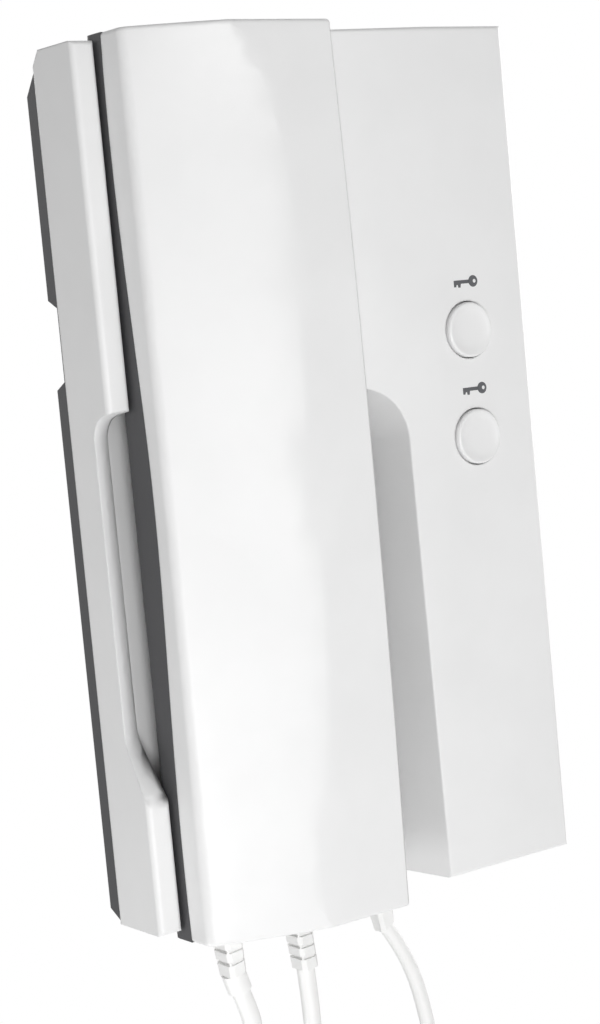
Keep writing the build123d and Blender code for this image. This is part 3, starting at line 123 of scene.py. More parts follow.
# Which moving body each moulded piece belongs to
BODY_OF = {
    "front_cover": "wall_unit",
    "rear_cover": "wall_unit",
    "base_cord_boot": "wall_unit",
    "line_cable_boot": "wall_unit",
    "handset_front_shell": "handset",
    "handset_rear_shell": "handset",
    "handset_cord_boot": "handset",
}

# Route of the curly cord's axis in millimetres, from the handset's strain relief round to the
# wall unit's
CURLY_ROUTE = (
    (-37.803, -24.4, -125.582),
    (-36.10, -24.4, -130.3),
    (-34.803, -24.4, -135.5),
    (-34.803, -24.4, -150.0),
    (-34.803, -24.4, -166.0),
    (-34.803, -24.4, -182.0),
    (-34.803, -24.4, -197.0),
    (-34.803, -24.4, -209.0),
    (-34.803, -24.4, -218.6),
    (-26.60, -19.95, -227.93),
    (-15.00, -13.65, -227.93),
    (-6.8, -9.2, -218.6),
    (-6.8, -9.2, -209.0),
    (-6.8, -9.2, -195.0),
    (-6.8, -9.2, -178.0),
    (-6.8, -9.2, -162.0),
    (-6.8, -9.2, -147.6),
    (-6.88, -9.2, -137.5),
    (-7.404, -9.2, -130.3),
)
# Heights on the route in millimetres: first curl, start of the bend and last curl
FIRST_CURL = -134.8
BEND_TOP = -212.0
LAST_CURL = -147.6
# Route of the line cable in millimetres, from its strain relief to its plug
LINE_ROUTE = (
    (19.336, -9.2, -125.5),
    (26.046, -9.2, -135.449),
    (31.0, -9.2, -154.0),
    (33.0, -9.2, -180.0),
    (33.8, -9.2, -206.0),
    (33.0, -9.2, -232.0),
    (33.0, -9.2, -250.0),
)
# Steps between a route's points, step along the curly cord's wire in metres, sides round the wire,
# and bevel resolution round the line cable
ROUTE_STEPS = 24
WIRE_STEP = 0.0007
WIRE_SIDES = 14
CABLE_ROUNDS = 5

# Release caps: points round a cap, steps over its rim and its dish, how steeply the dish falls from
# the rim, and the fold past which an edge is sharp
CAP_SIDES = 96
RIM_STEPS = 9
DISH_STEPS = 12
DISH_POWER = 4
CAP_FOLD = radians(30)

# Key symbol, in shares of its length: bow and hole radii, and half the shaft's height
KEY_BOW = 0.19
KEY_HOLE = 0.062
KEY_SHAFT = 0.058
# In shares of the bow's radius: how far the hole lies towards its end, and where the shaft meets it
KEY_HOLE_SHIFT = 0.3
KEY_JOIN = 0.9
# The teeth's corners, in shares of the length: how far from the tip and how far under the shaft
KEY_TEETH = (
    (0.0, 0.10), (0.09, 0.10), (0.11, 0.03), (0.16, 0.03), (0.18, 0.12), (0.27, 0.12), (0.29, 0.0),
)
KEY_SIDES = 40


class IntercomSizes(bpy.types.PropertyGroup):
    """Sizes of what is added to the moulded parts"""

    cord_wire: bpy.props.FloatProperty(
        name="Cord wire", description="Diameter of the curly cord's wire",
        default=4.8 * MM, unit="LENGTH")
    curl_radius: bpy.props.FloatProperty(
        name="Curl radius", description="From a curl's axis to the middle of the wire",
        default=5.2 * MM, unit="LENGTH")
    curl_pitch: bpy.props.FloatProperty(
        name="Curl pitch", description="Length of the axis for each curl",
        default=6.4 * MM, unit="LENGTH")
    run_in: bpy.props.FloatProperty(
        name="Run-in", description="Length of the loose first and last curls",
        default=26.0 * MM, unit="LENGTH")
    bend_curls: bpy.props.IntProperty(
        name="Bend curls", description="Curls in the bend", default=6)
    curl_step: bpy.props.FloatProperty(
        name="Curl step", description="Step along the axis between worked points",
        default=0.12 * MM, unit="LENGTH")
    cable: bpy.props.FloatProperty(
        name="Line cable", description="Diameter of the line cable",
        default=4.0 * MM, unit="LENGTH")
    cap_flange: bpy.props.FloatProperty(
        name="Cap flange", description="How far a cap's flange stands out behind the cover",
        default=1.4 * MM, unit="LENGTH")
    cap_height: bpy.props.FloatProperty(
        name="Cap height", description="From a button's front back to its flange",
        default=4.9 * MM, unit="LENGTH")
    cap_plate: bpy.props.FloatProperty(
        name="Cap plate", description="Thickness of a cap's flange",
        default=1.2 * MM, unit="LENGTH")
    cap_round: bpy.props.FloatProperty(
        name="Cap round", description="Radius of a cap's edge",
        default=0.6 * MM, unit="LENGTH")
    cap_rim: bpy.props.FloatProperty(
        name="Cap rim", description="Depth of a cap's rim behind the button's front",
        default=0.1 * MM, unit="LENGTH")
    cap_dish: bpy.props.FloatProperty(
        name="Cap dish", description="Depth of the finger dish inside a cap's rim",
        default=0.65 * MM, unit="LENGTH")
    cap_stem: bpy.props.FloatProperty(
        name="Cap stem", description="Radius of a cap's stem",
        default=2.0 * MM, unit="LENGTH")
    key_length: bpy.props.FloatProperty(
        name="Key symbol", description="Length of the key symbol over each button",
        default=7.8 * MM, unit="LENGTH")
    key_shift: bpy.props.FloatProperty(
        name="Key shift", description="Key symbol's middle to the right of its button",
        default=0.5 * MM, unit="LENGTH")
    key_rise: bpy.props.FloatProperty(
        name="Key rise", description="Key symbol's middle above its button's",
        default=12.2 * MM, unit="LENGTH")
    print_height: bpy.props.FloatProperty(
        name="Print height", description="Thickness of the printed ink over the surface",
        default=0.04 * MM, unit="LENGTH")
    print_sink: bpy.props.FloatProperty(
        name="Print sink", description="How far the ink reaches into the surface",
        default=0.02 * MM, unit="LENGTH")
    grain: bpy.props.FloatProperty(
        name="Mould grain", description="Size of the fine grain on the white mouldings",
        default=0.35 * MM, unit="LENGTH")


class IntercomColours(bpy.types.PropertyGroup):
    """Colours as sRGB hex values"""

    white: bpy.props.StringProperty(
        name="White", description="White mouldings", default="#EEEEEE")
    dark: bpy.props.StringProperty(
        name="Dark grey", description="Rear cover and handset back", default="#48484A")
    cord: bpy.props.StringProperty(
        name="Cord", description="Cords and strain reliefs", default="#F0F0EF")
    print_grey: bpy.props.StringProperty(
        name="Print", description="Printed key symbols", default="#5A5B5E")


def linear(code):
    """Turns an sRGB hex value into the linear colour that the shader takes."""
    parts = [int(code.lstrip("#")[i:i + 2], 16) / 255 for i in (0, 2, 4)]
    tones = [p / 12.92 if p <= 0.04045 else ((p + 0.055) / 1.055) ** 2.4 for p in parts]
    return (*tones, 1.0)


def add_node(tree, kind, settings=None, inputs=None):
    """Adds a node, sets its settings, and gives each input a value or a link from a socket."""
    node = tree.nodes.new(kind)
    for name, value in (settings or {}).items():
        setattr(node, name, value)
    for name, value in (inputs or {}).items():
        if isinstance(value, bpy.types.NodeSocket):
            tree.links.new(value, node.inputs[name])
        else:
            node.inputs[name].default_value = value
    return node


def new_material(name):
    """An empty material with its output node."""
    material = bpy.data.materials.new(name)
    material.use_nodes = True
    tree = material.node_tree
    tree.nodes.clear()
    return material, tree, add_node(tree, "ShaderNodeOutputMaterial")


def moulded(name, code, roughness, grain, depth, edge=0.0):
    """Moulded plastic: a spark-eroded grain, a faint cloudiness, and edges polished by hands."""
    material, tree, output = new_material(name)
    place = add_node(tree, "ShaderNodeTexCoord")
    # A mould's own grain is 0.05 to 0.1 mm, so it is drawn several times as coarse, to show
    grains = add_node(tree, "ShaderNodeTexNoise", inputs={
        "Vector": place.outputs["Object"], "Scale": 1 / grain, "Detail": 2.0, "Roughness": 0.6})
    clouds = add_node(tree, "ShaderNodeTexNoise", inputs={
        "Vector": place.outputs["Object"], "Scale": 1 / CLOUD_SIZE, "Detail": 3.0})
    colour = linear(code)
    darker = (*(c * (1 - CLOUD_TINT) for c in colour[:3]), 1.0)
    shade = add_node(tree, "ShaderNodeValToRGB", inputs={"Fac": clouds.outputs["Fac"]})
    for stop, level, tone in zip(shade.color_ramp.elements, CLOUD_LEVELS, (darker, colour)):
        stop.position = level
        stop.color = tone
    rough = add_node(tree, "ShaderNodeMapRange", inputs={
        "Value": grains.outputs["Fac"], "To Min": roughness - PLASTIC_SWING,
        "To Max": roughness + PLASTIC_SWING})
    bump = add_node(tree, "ShaderNodeBump", inputs={
        "Height": grains.outputs["Fac"], "Strength": depth, "Distance": grain * GRAIN_HEIGHT})
    smoothness = rough.outputs["Result"]
    if edge:
        rounded = add_node(tree, "ShaderNodeBevel", {"samples": 4}, {"Radius": edge})
        true_way = add_node(tree, "ShaderNodeNewGeometry")
        flat = add_node(tree, "ShaderNodeVectorMath", {"operation": "DOT_PRODUCT"}, {
            0: rounded.outputs["Normal"], 1: true_way.outputs["Normal"]})
        worn = add_node(tree, "ShaderNodeMapRange", inputs={
            "Value": flat.outputs["Value"], "From Min": EDGE_STARTS, "From Max": EDGE_FULL,
            "To Min": 0.0, "To Max": EDGE_POLISH})
        polished = add_node(tree, "ShaderNodeMath", {"operation": "SUBTRACT"}, {
            0: smoothness, 1: worn.outputs["Result"]})
        smoothness = polished.outputs["Value"]
        tree.links.new(rounded.outputs["Normal"], bump.inputs["Normal"])
    shader = add_node(tree, "ShaderNodeBsdfPrincipled", inputs={
        "Base Color": shade.outputs["Color"], "Roughness": smoothness,
        "Normal": bump.outputs["Normal"], "IOR": PLASTIC_IOR, "Specular IOR Level": 0.5})
    tree.links.new(shader.outputs["BSDF"], output.inputs["Surface"])
    return material


def metal(name, code, roughness, lines):
    """Bare or plated metal with turned or drawn lines, this many times as close along Z."""
    material, tree, output = new_material(name)
    place = add_node(tree, "ShaderNodeTexCoord")
    stretch = add_node(tree, "ShaderNodeMapping", inputs={
        "Vector": place.outputs["Object"], "Scale": (1.0, 1.0, lines)})
    noise = add_node(tree, "ShaderNodeTexNoise", inputs={
        "Vector": stretch.outputs["Vector"], "Scale": METAL_LINES_PER_METRE, "Detail": 2.0})
    rough = add_node(tree, "ShaderNodeMapRange", inputs={
        "Value": noise.outputs["Fac"], "To Min": roughness - METAL_SWING,
        "To Max": roughness + METAL_SWING})
    bump = add_node(tree, "ShaderNodeBump", inputs={
        "Height": noise.outputs["Fac"], "Strength": METAL_BUMP, "Distance": METAL_HEIGHT})
    shader = add_node(tree, "ShaderNodeBsdfPrincipled", inputs={
        "Base Color": linear(code), "Metallic": 1.0, "Roughness": rough.outputs["Result"],
        "Normal": bump.outputs["Normal"]})
    tree.links.new(shader.outputs["BSDF"], output.inputs["Surface"])
    return material


def mesh_from(work, name):
    """Turns a worked mesh into a named one and frees it."""
    mesh = bpy.data.meshes.new(name)
    work.to_mesh(mesh)
    work.free()
    return mesh


def object_from(name, mesh, material, smooth=True):
    """Links a mesh as an object at the origin with its material."""
    piece = bpy.data.objects.new(name, mesh)
    bpy.context.scene.collection.objects.link(piece)
    mesh.materials.clear()
    mesh.materials.append(material)
    mesh.polygons.foreach_set("use_smooth", [smooth] * len(mesh.polygons))
    return piece


def circle(count):
    """Points round a circle of radius one."""
    return [(cos(2 * pi * i / count), sin(2 * pi * i / count)) for i in range(count)]


def join_rings(work, rings):
    """Makes the faces between rings of points, where a ring of one point is a pole."""
    for ring, following in zip(rings, rings[1:]):
        count = max(len(ring), len(following))
        for i in range(count):
            j = (i + 1) % count
            if len(ring) == 1:
                work.faces.new((ring[0], following[j], following[i]))
            elif len(following) == 1:
                work.faces.new((ring[i], ring[j], following[0]))
            else:
                work.faces.new((ring[i], ring[j], following[j], following[i]))


def roll_scoop(place):
    """Rolls the finger scoop's floor over towards the handset, to just over the rail's core."""
    x, depth, z = place.x / MM, -place.y / MM, place.z / MM
    low, high = SCOOP
    if not (low[0] < x < high[0] and low[2] < z < high[2] and SCOOP_CORE < depth < RAIL_DEPTH):
        return
    share = (x - SCOOP_SIDES[0]) / (SCOOP_SIDES[1] - SCOOP_SIDES[0])
    bowed = (1 + SCOOP_BOW) * share - SCOOP_BOW * share * share
    flat = SCOOP_DEPTHS[0] + (SCOOP_DEPTHS[1] - SCOOP_DEPTHS[0]) * bowed
    rolled = SCOOP_DEPTHS[0] + (SCOOP_LOW - SCOOP_DEPTHS[0]) * share * share
    cut = min(1.0, (RAIL_DEPTH - depth) / (RAIL_DEPTH - flat))
    place.y = -(RAIL_DEPTH - cut * (RAIL_DEPTH - rolled)) * MM


def dress(node, material):
    """A merged copy of a moulded CAD piece, shaded smooth on its curves, that stands for it."""
    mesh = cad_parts[node].data.copy()
    work = bmesh.new()
    work.from_mesh(mesh)
    bmesh.ops.remove_doubles(work, verts=work.verts, dist=MERGE_REACH)
    if node == "front_cover":
        for vert in work.verts:
            roll_scoop(vert.co)
        bmesh.ops.dissolve_degenerate(work, edges=work.edges, dist=MERGE_REACH)
    work.normal_update()
    low, high = SCOOP
    for edge in work.edges:
        bend = edge.calc_face_angle(pi)
        middle = (edge.verts[0].co + edge.verts[1].co) / 2 / MM
        if all(low[i] < middle[i] < high[i] for i in range(3)):
            edge.smooth = bend < SCOOP_FOLD
        elif min((face.calc_area() for face in edge.link_faces), default=0) > LARGE_FACE:
            edge.smooth = bend < FACET_FOLD
        else:
            edge.smooth = bend < CURVE_FOLD
    work.to_mesh(mesh)
    work.free()
    piece = object_from(node + "_skin", mesh, material)
    even = piece.modifiers.new("even shading", "WEIGHTED_NORMAL")
    even.keep_sharp = True
    even.weight = EVEN_WEIGHT
    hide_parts(node)
    return piece


def route_line(name, points):
    """The smooth line of a route: a NURBS spline on its points, as a curve object with no bevel."""
    curve = bpy.data.curves.new(name, "CURVE")
    curve.dimensions = "3D"
    curve.resolution_u = ROUTE_STEPS
    spline = curve.splines.new("NURBS")
    spline.points.add(len(points) - 1)
    for point, place in zip(spline.points, points):
        point.co = (place[0] * MM, place[1] * MM, place[2] * MM, 1.0)
    spline.order_u = 3
    spline.use_endpoint_u = True
    line = bpy.data.objects.new(name, curve)
    bpy.context.scene.collection.objects.link(line)
    return line


def read_line(line):
    """The points of a route's spline, in order."""
    bpy.context.view_layer.update()
    seen = line.evaluated_get(bpy.context.evaluated_depsgraph_get())
    mesh = bpy.data.meshes.new_from_object(seen)
    places = [v.co.copy() for v in mesh.vertices]
    bpy.data.meshes.remove(mesh)
    return places


def spread_evenly(places, step):
    """Points at an even step along a line of points, and the line's length."""
    reached = [0.0]
    for before, after in zip(places, places[1:]):
        reached.append(reached[-1] + (after - before).length)
    count = max(2, round(reached[-1] / step))
    even = []
    at = 0
    for number in range(count + 1):
        far = reached[-1] * number / count
        while at < len(places) - 2 and reached[at + 1] < far:
            at += 1
        share = (far - reached[at]) / max(reached[at + 1] - reached[at], 1e-12)
        even.append(places[at].lerp(places[at + 1], min(share, 1.0)))
    return even, reached[-1]


def tube_mesh(name, path, radius, sides):
    """A round tube with closed ends along a line of points, with no twist."""
    ways = []
    for number in range(len(path)):
        before = path[max(number - 1, 0)]
        after = path[min(number + 1, len(path) - 1)]
        ways.append((after - before).normalized())
    aside = ways[0].orthogonal().normalized()
    work = bmesh.new()
    rings = []
    for number, (place, way) in enumerate(zip(path, ways)):
        if number:
            aside = (aside - way * aside.dot(way)).normalized()
        other = way.cross(aside)
        rings.append([
            work.verts.new(place + (aside * x + other * y) * radius) for x, y in circle(sides)])
    join_rings(work, rings)
    work.faces.new(list(reversed(rings[0])))
    work.faces.new(rings[-1])
    return mesh_from(work, name)


def curl_line(sizes):
    """The curly cord's centreline: curls on the smooth line of its route, loose at both ends."""
    line = route_line("curly cord route", CURLY_ROUTE)
    even, length = spread_evenly(read_line(line), sizes.curl_step)
    bpy.data.objects.remove(line)
    low = min(range(len(even)), key=lambda i: even[i].z)
    first = next(i for i in range(low) if even[i].z <= FIRST_CURL * MM)
    down = next(i for i in range(low) if even[i].z <= BEND_TOP * MM)
    up = next(i for i in range(low, len(even)) if even[i].z >= BEND_TOP * MM)
    last = next(i for i in range(low, len(even)) if even[i].z >= LAST_CURL * MM)
    across = even[last] - even[first]
    across.z = 0
    outward = across.normalized().cross(Vector((0, 0, 1)))
    step = length / (len(even) - 1)
    turned = [0.0]
    for i in range(1, len(even)):
        if i <= first or i > last:
            rate = 0.0
        elif down < i <= up:
            rate = sizes.bend_curls / ((up - down) * step)
        elif min(i - first, last - i) * step < sizes.run_in:
            rate = 1 / sizes.run_in
        else:
            rate = 1 / sizes.curl_pitch
        turned.append(turned[-1] + rate * step)
    path = []
    for i, place in enumerate(even):
        way = (even[min(i + 1, len(even) - 1)] - even[max(i - 1, 0)]).normalized()
        aside = outward.cross(way).normalized()
        share = max(0.0, min(turned[i], turned[-1] - turned[i], 1.0))
        swell = share * share * (3 - 2 * share) * sizes.curl_radius
        angle = 2 * pi * turned[i]
        path.append(place + (aside * cos(angle) + outward * sin(angle)) * swell)
    return path


def cap_mesh(name, low, high, sizes):
    """A release cap turned round its axis: stem, flange, skirt, round rim and finger dish."""
    side, rise = (low.x + high.x) / 2, (low.z + high.z) / 2
    front, back = low.y, high.y
    flange = (high.x - low.x) / 2
    radius = flange - sizes.cap_flange
    seat = front + sizes.cap_height
    curve = sizes.cap_round
    shoulder = front + sizes.cap_rim + curve
    profile = [
        (0.0, back), (sizes.cap_stem, back), (sizes.cap_stem, seat + sizes.cap_plate),
        (flange, seat + sizes.cap_plate), (flange, seat), (radius, seat), (radius, shoulder)]
    for number in range(1, RIM_STEPS):
        angle = pi / 2 * number / RIM_STEPS
        profile.append((radius - curve * (1 - cos(angle)), shoulder - curve * sin(angle)))
    for number in range(DISH_STEPS + 1):
        share = 1 - number / DISH_STEPS
        sunk = sizes.cap_dish * (1 - share ** DISH_POWER)
        profile.append(((radius - curve) * share, front + sizes.cap_rim + sunk))
    work = bmesh.new()
    rings = []
    for size, depth in profile:
        points = circle(CAP_SIDES) if size else [(0.0, 0.0)]
        rings.append([work.verts.new((side + size * x, depth, rise + size * z)) for x, z in points])
    join_rings(work, rings)
    bmesh.ops.recalc_face_normals(work, faces=work.faces)
    for edge in work.edges:
        edge.smooth = edge.calc_face_angle(pi) < CAP_FOLD
    return mesh_from(work, name)


def key_mesh(sizes):
    """One key symbol round its own middle: a bow with a small hole, a shaft and two teeth."""
    length = sizes.key_length
    bow = length * KEY_BOW
    hole = length * KEY_HOLE
    shaft = length * KEY_SHAFT
    front, back = -sizes.print_height, sizes.print_sink
    centre = length / 2 - bow
    work = bmesh.new()

    def ring(size, depth, shift):
        return [work.verts.new((centre + shift + size * x, depth, size * z))
                for x, z in circle(KEY_SIDES)]

    shift = bow * KEY_HOLE_SHIFT
    outer, inner = ring(bow, front, 0.0), ring(hole, front, shift)
    outer_back, inner_back = ring(bow, back, 0.0), ring(hole, back, shift)
    for i in range(KEY_SIDES):
        j = (i + 1) % KEY_SIDES
        work.faces.new((outer[i], outer[j], inner[j], inner[i]))
        work.faces.new((outer_back[j], outer_back[i], inner_back[i], inner_back[j]))
        work.faces.new((outer[j], outer[i], outer_back[i], outer_back[j]))
        work.faces.new((inner[i], inner[j], inner_back[j], inner_back[i]))
    left, join = -length / 2, centre - bow * KEY_JOIN
    outline = [(join, shaft), (left, shaft)]
    for along, drop in KEY_TEETH:
        outline.append((left + length * along, -shaft - length * drop))
    outline.append((join, -shaft))
    near = [work.verts.new((x, front, z)) for x, z in outline]
    far = [work.verts.new((x, back, z)) for x, z in outline]
    work.faces.new(near)
    work.faces.new(list(reversed(far)))
    for i in range(len(outline)):
        j = (i + 1) % len(outline)
        work.faces.new((near[j], near[i], far[i], far[j]))
    bmesh.ops.recalc_face_normals(work, faces=work.faces)
    return mesh_from(work, "key_symbol")


def copies_tree(name, material):
    """A node tree that stands one shape on each point of a row, and its inputs' identifiers."""
    tree = bpy.data.node_groups.new(name, "GeometryNodeTree")
    tree.interface.new_socket("Geometry", in_out="INPUT", socket_type="NodeSocketGeometry")
    sockets = {}
    for label, kind in (
        ("Shape", "NodeSocketObject"), ("Count", "NodeSocketInt"),
        ("Start", "NodeSocketVector"), ("Offset", "NodeSocketVector"),
    ):
        socket = tree.interface.new_socket(label, in_out="INPUT", socket_type=kind)
        sockets[label] = socket.identifier
    tree.interface.new_socket("Geometry", in_out="OUTPUT", socket_type="NodeSocketGeometry")
    inputs = add_node(tree, "NodeGroupInput")
    line = add_node(tree, "GeometryNodeMeshLine", {"mode": "OFFSET"}, {
        "Count": inputs.outputs["Count"], "Start Location": inputs.outputs["Start"],
        "Offset": inputs.outputs["Offset"]})
    source = add_node(tree, "GeometryNodeObjectInfo", inputs={"Object": inputs.outputs["Shape"]})
    stood = add_node(tree, "GeometryNodeInstanceOnPoints", inputs={
        "Points": line.outputs["Mesh"], "Instance": source.outputs["Geometry"]})
    real = add_node(tree, "GeometryNodeRealizeInstances", inputs={
        "Geometry": stood.outputs["Instances"]})
    dressed = add_node(tree, "GeometryNodeSetMaterial", inputs={
        "Geometry": real.outputs["Geometry"], "Material": material})
    add_node(tree, "NodeGroupOutput", inputs={"Geometry": dressed.outputs["Geometry"]})
    return tree, sockets


def stand_copies(name, mesh, material, count, first, offset):
    """A plain mesh object with the shape repeated in a row."""
    shape = object_from(name + "_shape", mesh, material, False)
    tree, sockets = copies_tree(name + " copies", material)
    holder = object_from(name + "_holder", bpy.data.meshes.new(name + "_holder"), material, False)
    modifier = holder.modifiers.new("copies", "NODES")
    modifier.node_group = tree
    for key, value in (("Shape", shape), ("Count", count), ("Start", first), ("Offset", offset)):
        modifier[sockets[key]] = value
    bpy.context.view_layer.update()
    seen = holder.evaluated_get(bpy.context.evaluated_depsgraph_get())
    final = bpy.data.meshes.new_from_object(seen)
    bpy.data.objects.remove(holder)
    bpy.data.objects.remove(shape)
    return object_from(name, final, material, False)


def add_camera(scene):
    """The camera at the photograph's viewing angle."""
    turn, lift, roll = radians(CAMERA_TURN), radians(CAMERA_LIFT), radians(CAMERA_ROLL)
    back = Vector((sin(turn) * cos(lift), -cos(turn) * cos(lift), sin(lift)))
    right = Vector((cos(turn), sin(turn), 0))
    up = back.cross(right)
    rolled_right = right * cos(roll) + up * sin(roll)
    rolled_up = up * cos(roll) - right * sin(roll)
    data = bpy.data.cameras.new("camera")
    data.lens = CAMERA_LENS
    data.sensor_width = CAMERA_SENSOR
    data.clip_start = CAMERA_NEAR
    camera = bpy.data.objects.new("camera", data)
    scene.collection.objects.link(camera)
    turned = Matrix((rolled_right, rolled_up, back)).transposed().to_4x4()
    camera.matrix_world = Matrix.Translation(CAMERA_PLACE) @ turned
    scene.camera = camera


def add_surroundings(scene):
    """A room that is white where it is seen or mirrored, and dimmer as light on the object."""
    world = bpy.data.worlds.new("white room")
    scene.world = world
    world.use_nodes = True
    tree = world.node_tree
    tree.nodes.clear()
    rays = add_node(tree, "ShaderNodeLightPath")
    seen = add_node(tree, "ShaderNodeMath", {"operation": "MAXIMUM"}, {
        0: rays.outputs["Is Camera Ray"], 1: rays.outputs["Is Glossy Ray"]})
    seen = add_node(tree, "ShaderNodeMath", {"operation": "MAXIMUM"}, {
        0: seen.outputs[0], 1: rays.outputs["Is Transmission Ray"]})
    dim = add_node(tree, "ShaderNodeBackground", inputs={
        "Color": (1, 1, 1, 1), "Strength": ROOM_LEVEL})
    white = add_node(tree, "ShaderNodeBackground", inputs={"Color": (1, 1, 1, 1), "Strength": 1.0})
    mixed = add_node(tree, "ShaderNodeMixShader", inputs={
        0: seen.outputs[0], 1: dim.outputs[0], 2: white.outputs[0]})
    add_node(tree, "ShaderNodeOutputWorld", inputs={"Surface": mixed.outputs[0]})


def add_lamps(scene):
    """The soft round lamps, each facing the origin."""
    for name, place, size, power in LAMPS:
        lamp = bpy.data.lights.new(name, "AREA")
        lamp.shape = "DISK"
        lamp.size = size
        lamp.energy = power
        light = bpy.data.objects.new(name, lamp)
        scene.collection.objects.link(light)
        light.location = place
        light.rotation_euler = (-Vector(place)).to_track_quat("-Z", "Y").to_euler()


def add_floor():
    """The pale floor, white to the camera, that keeps its light and shadow for the object."""
    material, tree, output = new_material("pale painted floor")
    rays = add_node(tree, "ShaderNodeLightPath")
    paint = add_node(tree, "ShaderNodeBsdfDiffuse", inputs={"Color": linear("#F4F4F4")})
    bare = add_node(tree, "ShaderNodeEmission", inputs={"Color": (1, 1, 1, 1), "Strength": 1.0})
    mixed = add_node(tree, "ShaderNodeMixShader", inputs={
        0: rays.outputs["Is Camera Ray"], 1: paint.outputs[0], 2: bare.outputs[0]})
    tree.links.new(mixed.outputs[0], output.inputs["Surface"])
    work = bmesh.new()
    bmesh.ops.create_grid(work, x_segments=FLOOR_CELLS, y_segments=FLOOR_CELLS, size=FLOOR_REACH,
                          matrix=Matrix.Translation((0, 0, FLOOR_HEIGHT)))
    object_from("floor", mesh_from(work, "floor"), material, False)


class INTERCOM_OT_stage(bpy.types.Operator):
    """Sets the camera, the lights, the white surroundings and the pale floor"""

    bl_idname = "intercom.stage"
    bl_label = "Stage"

    def execute(self, context):
        scene = context.scene
        scene.view_settings.view_transform = "Standard"
        add_camera(scene)
        add_surroundings(scene)
        add_lamps(scene)
        add_floor()
        return {"FINISHED"}


class INTERCOM_OT_cords(bpy.types.Operator):
    """Makes the curly handset cord and the line cable"""

    bl_idname = "intercom.cords"
    bl_label = "Cords"

    def execute(self, context):
        sizes = context.scene.intercom_sizes
        colours = context.scene.intercom_colours
        # Soft PVC has a dull sheen and hardly any grain
        soft = moulded("soft PVC, extruded", colours.cord,
                       roughness=0.45, grain=1.2 * MM, depth=0.05)
        path = spread_evenly(curl_line(sizes), WIRE_STEP)[0]
        wire = tube_mesh("curly_cord", path, sizes.cord_wire / 2, WIRE_SIDES)
        cord = object_from("curly_cord", wire, soft)
        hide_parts("handset_cord")
        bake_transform(cord)
        cable = route_line("line_cord", LINE_ROUTE)
        cable.data.bevel_depth = sizes.cable / 2
        cable.data.bevel_resolution = CABLE_ROUNDS
        cable.data.use_fill_caps = True
        cable.data.materials.append(soft)
        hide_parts("line_cable")
        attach(cable, "wall_unit")
        return {"FINISHED"}


class INTERCOM_OT_finishes(bpy.types.Operator):
    """Gives the moulded and metal parts their materials"""

    bl_idname = "intercom.finishes"
    bl_label = "Finishes"

    def execute(self, context):
        sizes = context.scene.intercom_sizes
        colours = context.scene.intercom_colours
        # ABS from a polished mould has a soft, wide gloss and a grain that only shows in it
        white = moulded("white ABS, moulded", colours.white,
                        roughness=0.40, grain=sizes.grain, depth=0.10, edge=0.8 * MM)
        # Spark-eroded moulds leave a dull, grainy dark surface with no clear reflection
        dark = moulded("dark grey ABS, textured", colours.dark,
                       roughness=0.55, grain=0.5 * MM, depth=0.25, edge=0.3 * MM)
        # Strain reliefs are moulded over the cord in its own soft plastic, as dull as the cord
        relief = moulded("soft PVC strain relief", colours.cord,
                         roughness=0.45, grain=0.8 * MM, depth=0.06)
        for material, names in (
            # Unpigmented POM is a waxy ivory, smooth and slightly glossy
            (moulded("natural POM, moulded", "#E4E1D6",
                     roughness=0.35, grain=0.6 * MM, depth=0.05),
             ("hook_lever", "line_plug", "upper_switch_plunger", "lower_switch_plunger",
              "hook_switch_plunger")),
            # Nylon cases of small switches are a flat black
            (moulded("black nylon, moulded", "#232324",
                     roughness=0.5, grain=0.4 * MM, depth=0.1),
             ("tact_switches", "hook_switch")),
            # Terminal blocks are a plain mid green with a low gloss
            (moulded("green polyamide, moulded", "#3F8F4B",
                     roughness=0.4, grain=0.4 * MM, depth=0.1),
             ("terminal_block",)),
            # Solder mask lies on the board as a glossy, even green coat
            (moulded("glass epoxy board, solder mask", "#1F6B3C",
                     roughness=0.25, grain=0.8 * MM, depth=0.03),
             ("circuit_board",)),
            # Shrunk sleeving is taut and glossy, here in dark blue
            (moulded("PVC sleeve, shrunk", "#20264A",
                     roughness=0.25, grain=1.0 * MM, depth=0.03),
             ("capacitors",)),
            # A transformer's stack is dipped in thin grey paint that lets its roughness through
            (moulded("painted core iron", "#3A3B3E",
                     roughness=0.5, grain=0.5 * MM, depth=0.15),
             ("line_transformer",)),
            # Rubber takes all the shine out of its black
            (moulded("black rubber, moulded", "#262626",
                     roughness=0.7, grain=0.4 * MM, depth=0.15),
             ("receiver_gasket", "microphone_grommet")),
            # Zinc plate is bright, and greyer and rougher than bare steel
            (metal("zinc-plated steel", "#C9CACB", roughness=0.35, lines=1.0),
             ("board_screws", "terminal_screws", "case_screw", "handset_screws",
              "receiver_capsule", "chime_speaker")),
            # Drawn wire has fine close lines that stretch its highlights
            (metal("drawn spring steel", "#B9BABC", roughness=0.3, lines=6.0),
             ("hook_spring",)),
            # Spun aluminium is pale and evenly bright
            (metal("spun aluminium", "#D8D9DB", roughness=0.3, lines=1.0),
             ("microphone",)),
        ):
            for name in names:
                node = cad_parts[name]
                node.data.materials.clear()
                node.data.materials.append(material)
        for material, slot, names in (
            (white, "white_plastic", ("front_cover", "handset_front_shell")),
            (dark, "dark_plastic", ("rear_cover", "handset_rear_shell")),
            (relief, "cord_plastic", ("handset_cord_boot", "base_cord_boot", "line_cable_boot")),
        ):
            for name in names:
                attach(dress(name, material), BODY_OF[name])
        return {"FINISHED"}


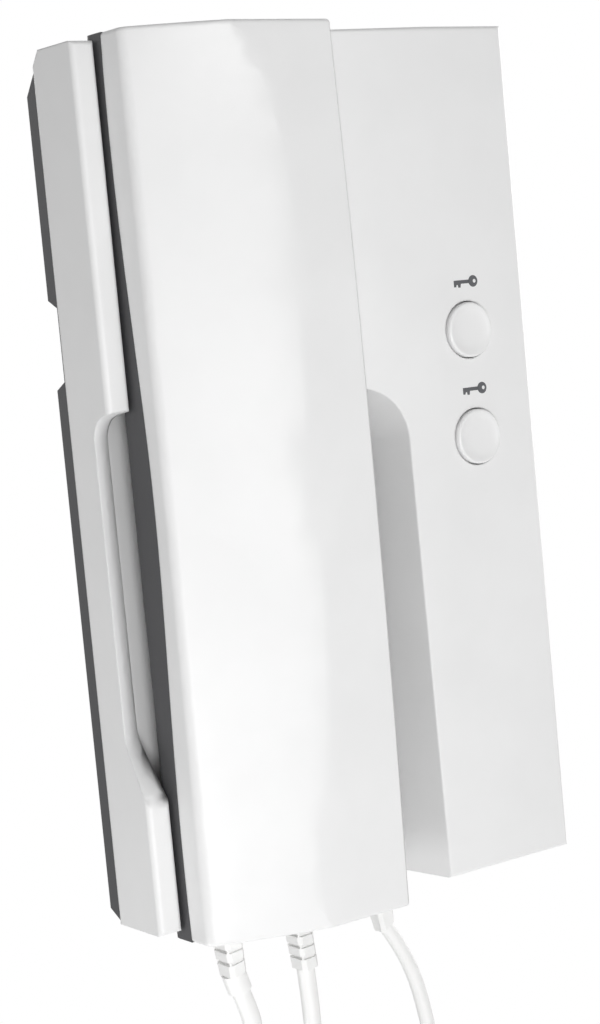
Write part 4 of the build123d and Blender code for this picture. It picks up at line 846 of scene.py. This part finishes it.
class INTERCOM_OT_release_caps(bpy.types.Operator):
    """Turns the two door release caps, each with a round rim and a shallow dish for the finger"""

    bl_idname = "intercom.release_caps"
    bl_label = "Door release caps"

    def execute(self, context):
        sizes = context.scene.intercom_sizes
        colours = context.scene.intercom_colours
        # The caps are moulded apart from the cover, a touch glossier where fingers press
        gloss = moulded("white ABS, pressed caps", colours.white,
                        roughness=0.34, grain=sizes.grain, depth=0.05)
        for name in ("upper_button", "lower_button"):
            low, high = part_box(name)
            mesh = cap_mesh(name + "_cap", low, high, sizes)
            piece = object_from(name + "_cap", mesh, gloss)
            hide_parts(name)
            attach(piece, name)
        return {"FINISHED"}


class INTERCOM_OT_key_symbols(bpy.types.Operator):
    """Prints a key symbol over each door release button"""

    bl_idname = "intercom.key_symbols"
    bl_label = "Key symbols"

    def execute(self, context):
        sizes = context.scene.intercom_sizes
        colours = context.scene.intercom_colours
        # Screen-print ink is flat and slightly rougher than the plastic under it
        ink = moulded("screen-print ink", colours.print_grey,
                      roughness=0.6, grain=0.3 * MM, depth=0.05)
        boxes = [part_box(name) for name in ("upper_button", "lower_button")]
        upper, lower = [Vector(low).lerp(Vector(high), 0.5) for low, high in boxes]
        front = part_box("front_cover")[0].y
        first = Vector((upper.x + sizes.key_shift, front, upper.z + sizes.key_rise))
        offset = Vector((0, 0, lower.z - upper.z))
        piece = stand_copies("key_symbols", key_mesh(sizes), ink, len(boxes), first, offset)
        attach(piece, "wall_unit")
        return {"FINISHED"}


class INTERCOM_PT_panel(bpy.types.Panel):
    """Lists the steps that dress the intercom"""

    bl_idname = "INTERCOM_PT_panel"
    bl_label = "Intercom"
    bl_space_type = "VIEW_3D"
    bl_region_type = "UI"
    bl_category = "Intercom"

    def draw(self, context):
        for step in STEPS:
            self.layout.operator(step.bl_idname)


STEPS = (INTERCOM_OT_stage, INTERCOM_OT_cords, INTERCOM_OT_finishes, INTERCOM_OT_release_caps,
         INTERCOM_OT_key_symbols)
CLASSES = (IntercomSizes, IntercomColours) + STEPS + (INTERCOM_PT_panel,)


def register():
    for cls in CLASSES:
        bpy.utils.register_class(cls)
    bpy.types.Scene.intercom_sizes = bpy.props.PointerProperty(type=IntercomSizes)
    bpy.types.Scene.intercom_colours = bpy.props.PointerProperty(type=IntercomColours)


def unregister():
    del bpy.types.Scene.intercom_colours
    del bpy.types.Scene.intercom_sizes
    for cls in reversed(CLASSES):
        bpy.utils.unregister_class(cls)


def main():
    register()
    bpy.ops.intercom.stage()
    bpy.ops.intercom.cords()
    bpy.ops.intercom.finishes()
    bpy.ops.intercom.release_caps()
    bpy.ops.intercom.key_symbols()


if __name__ == "__main__":
    main()
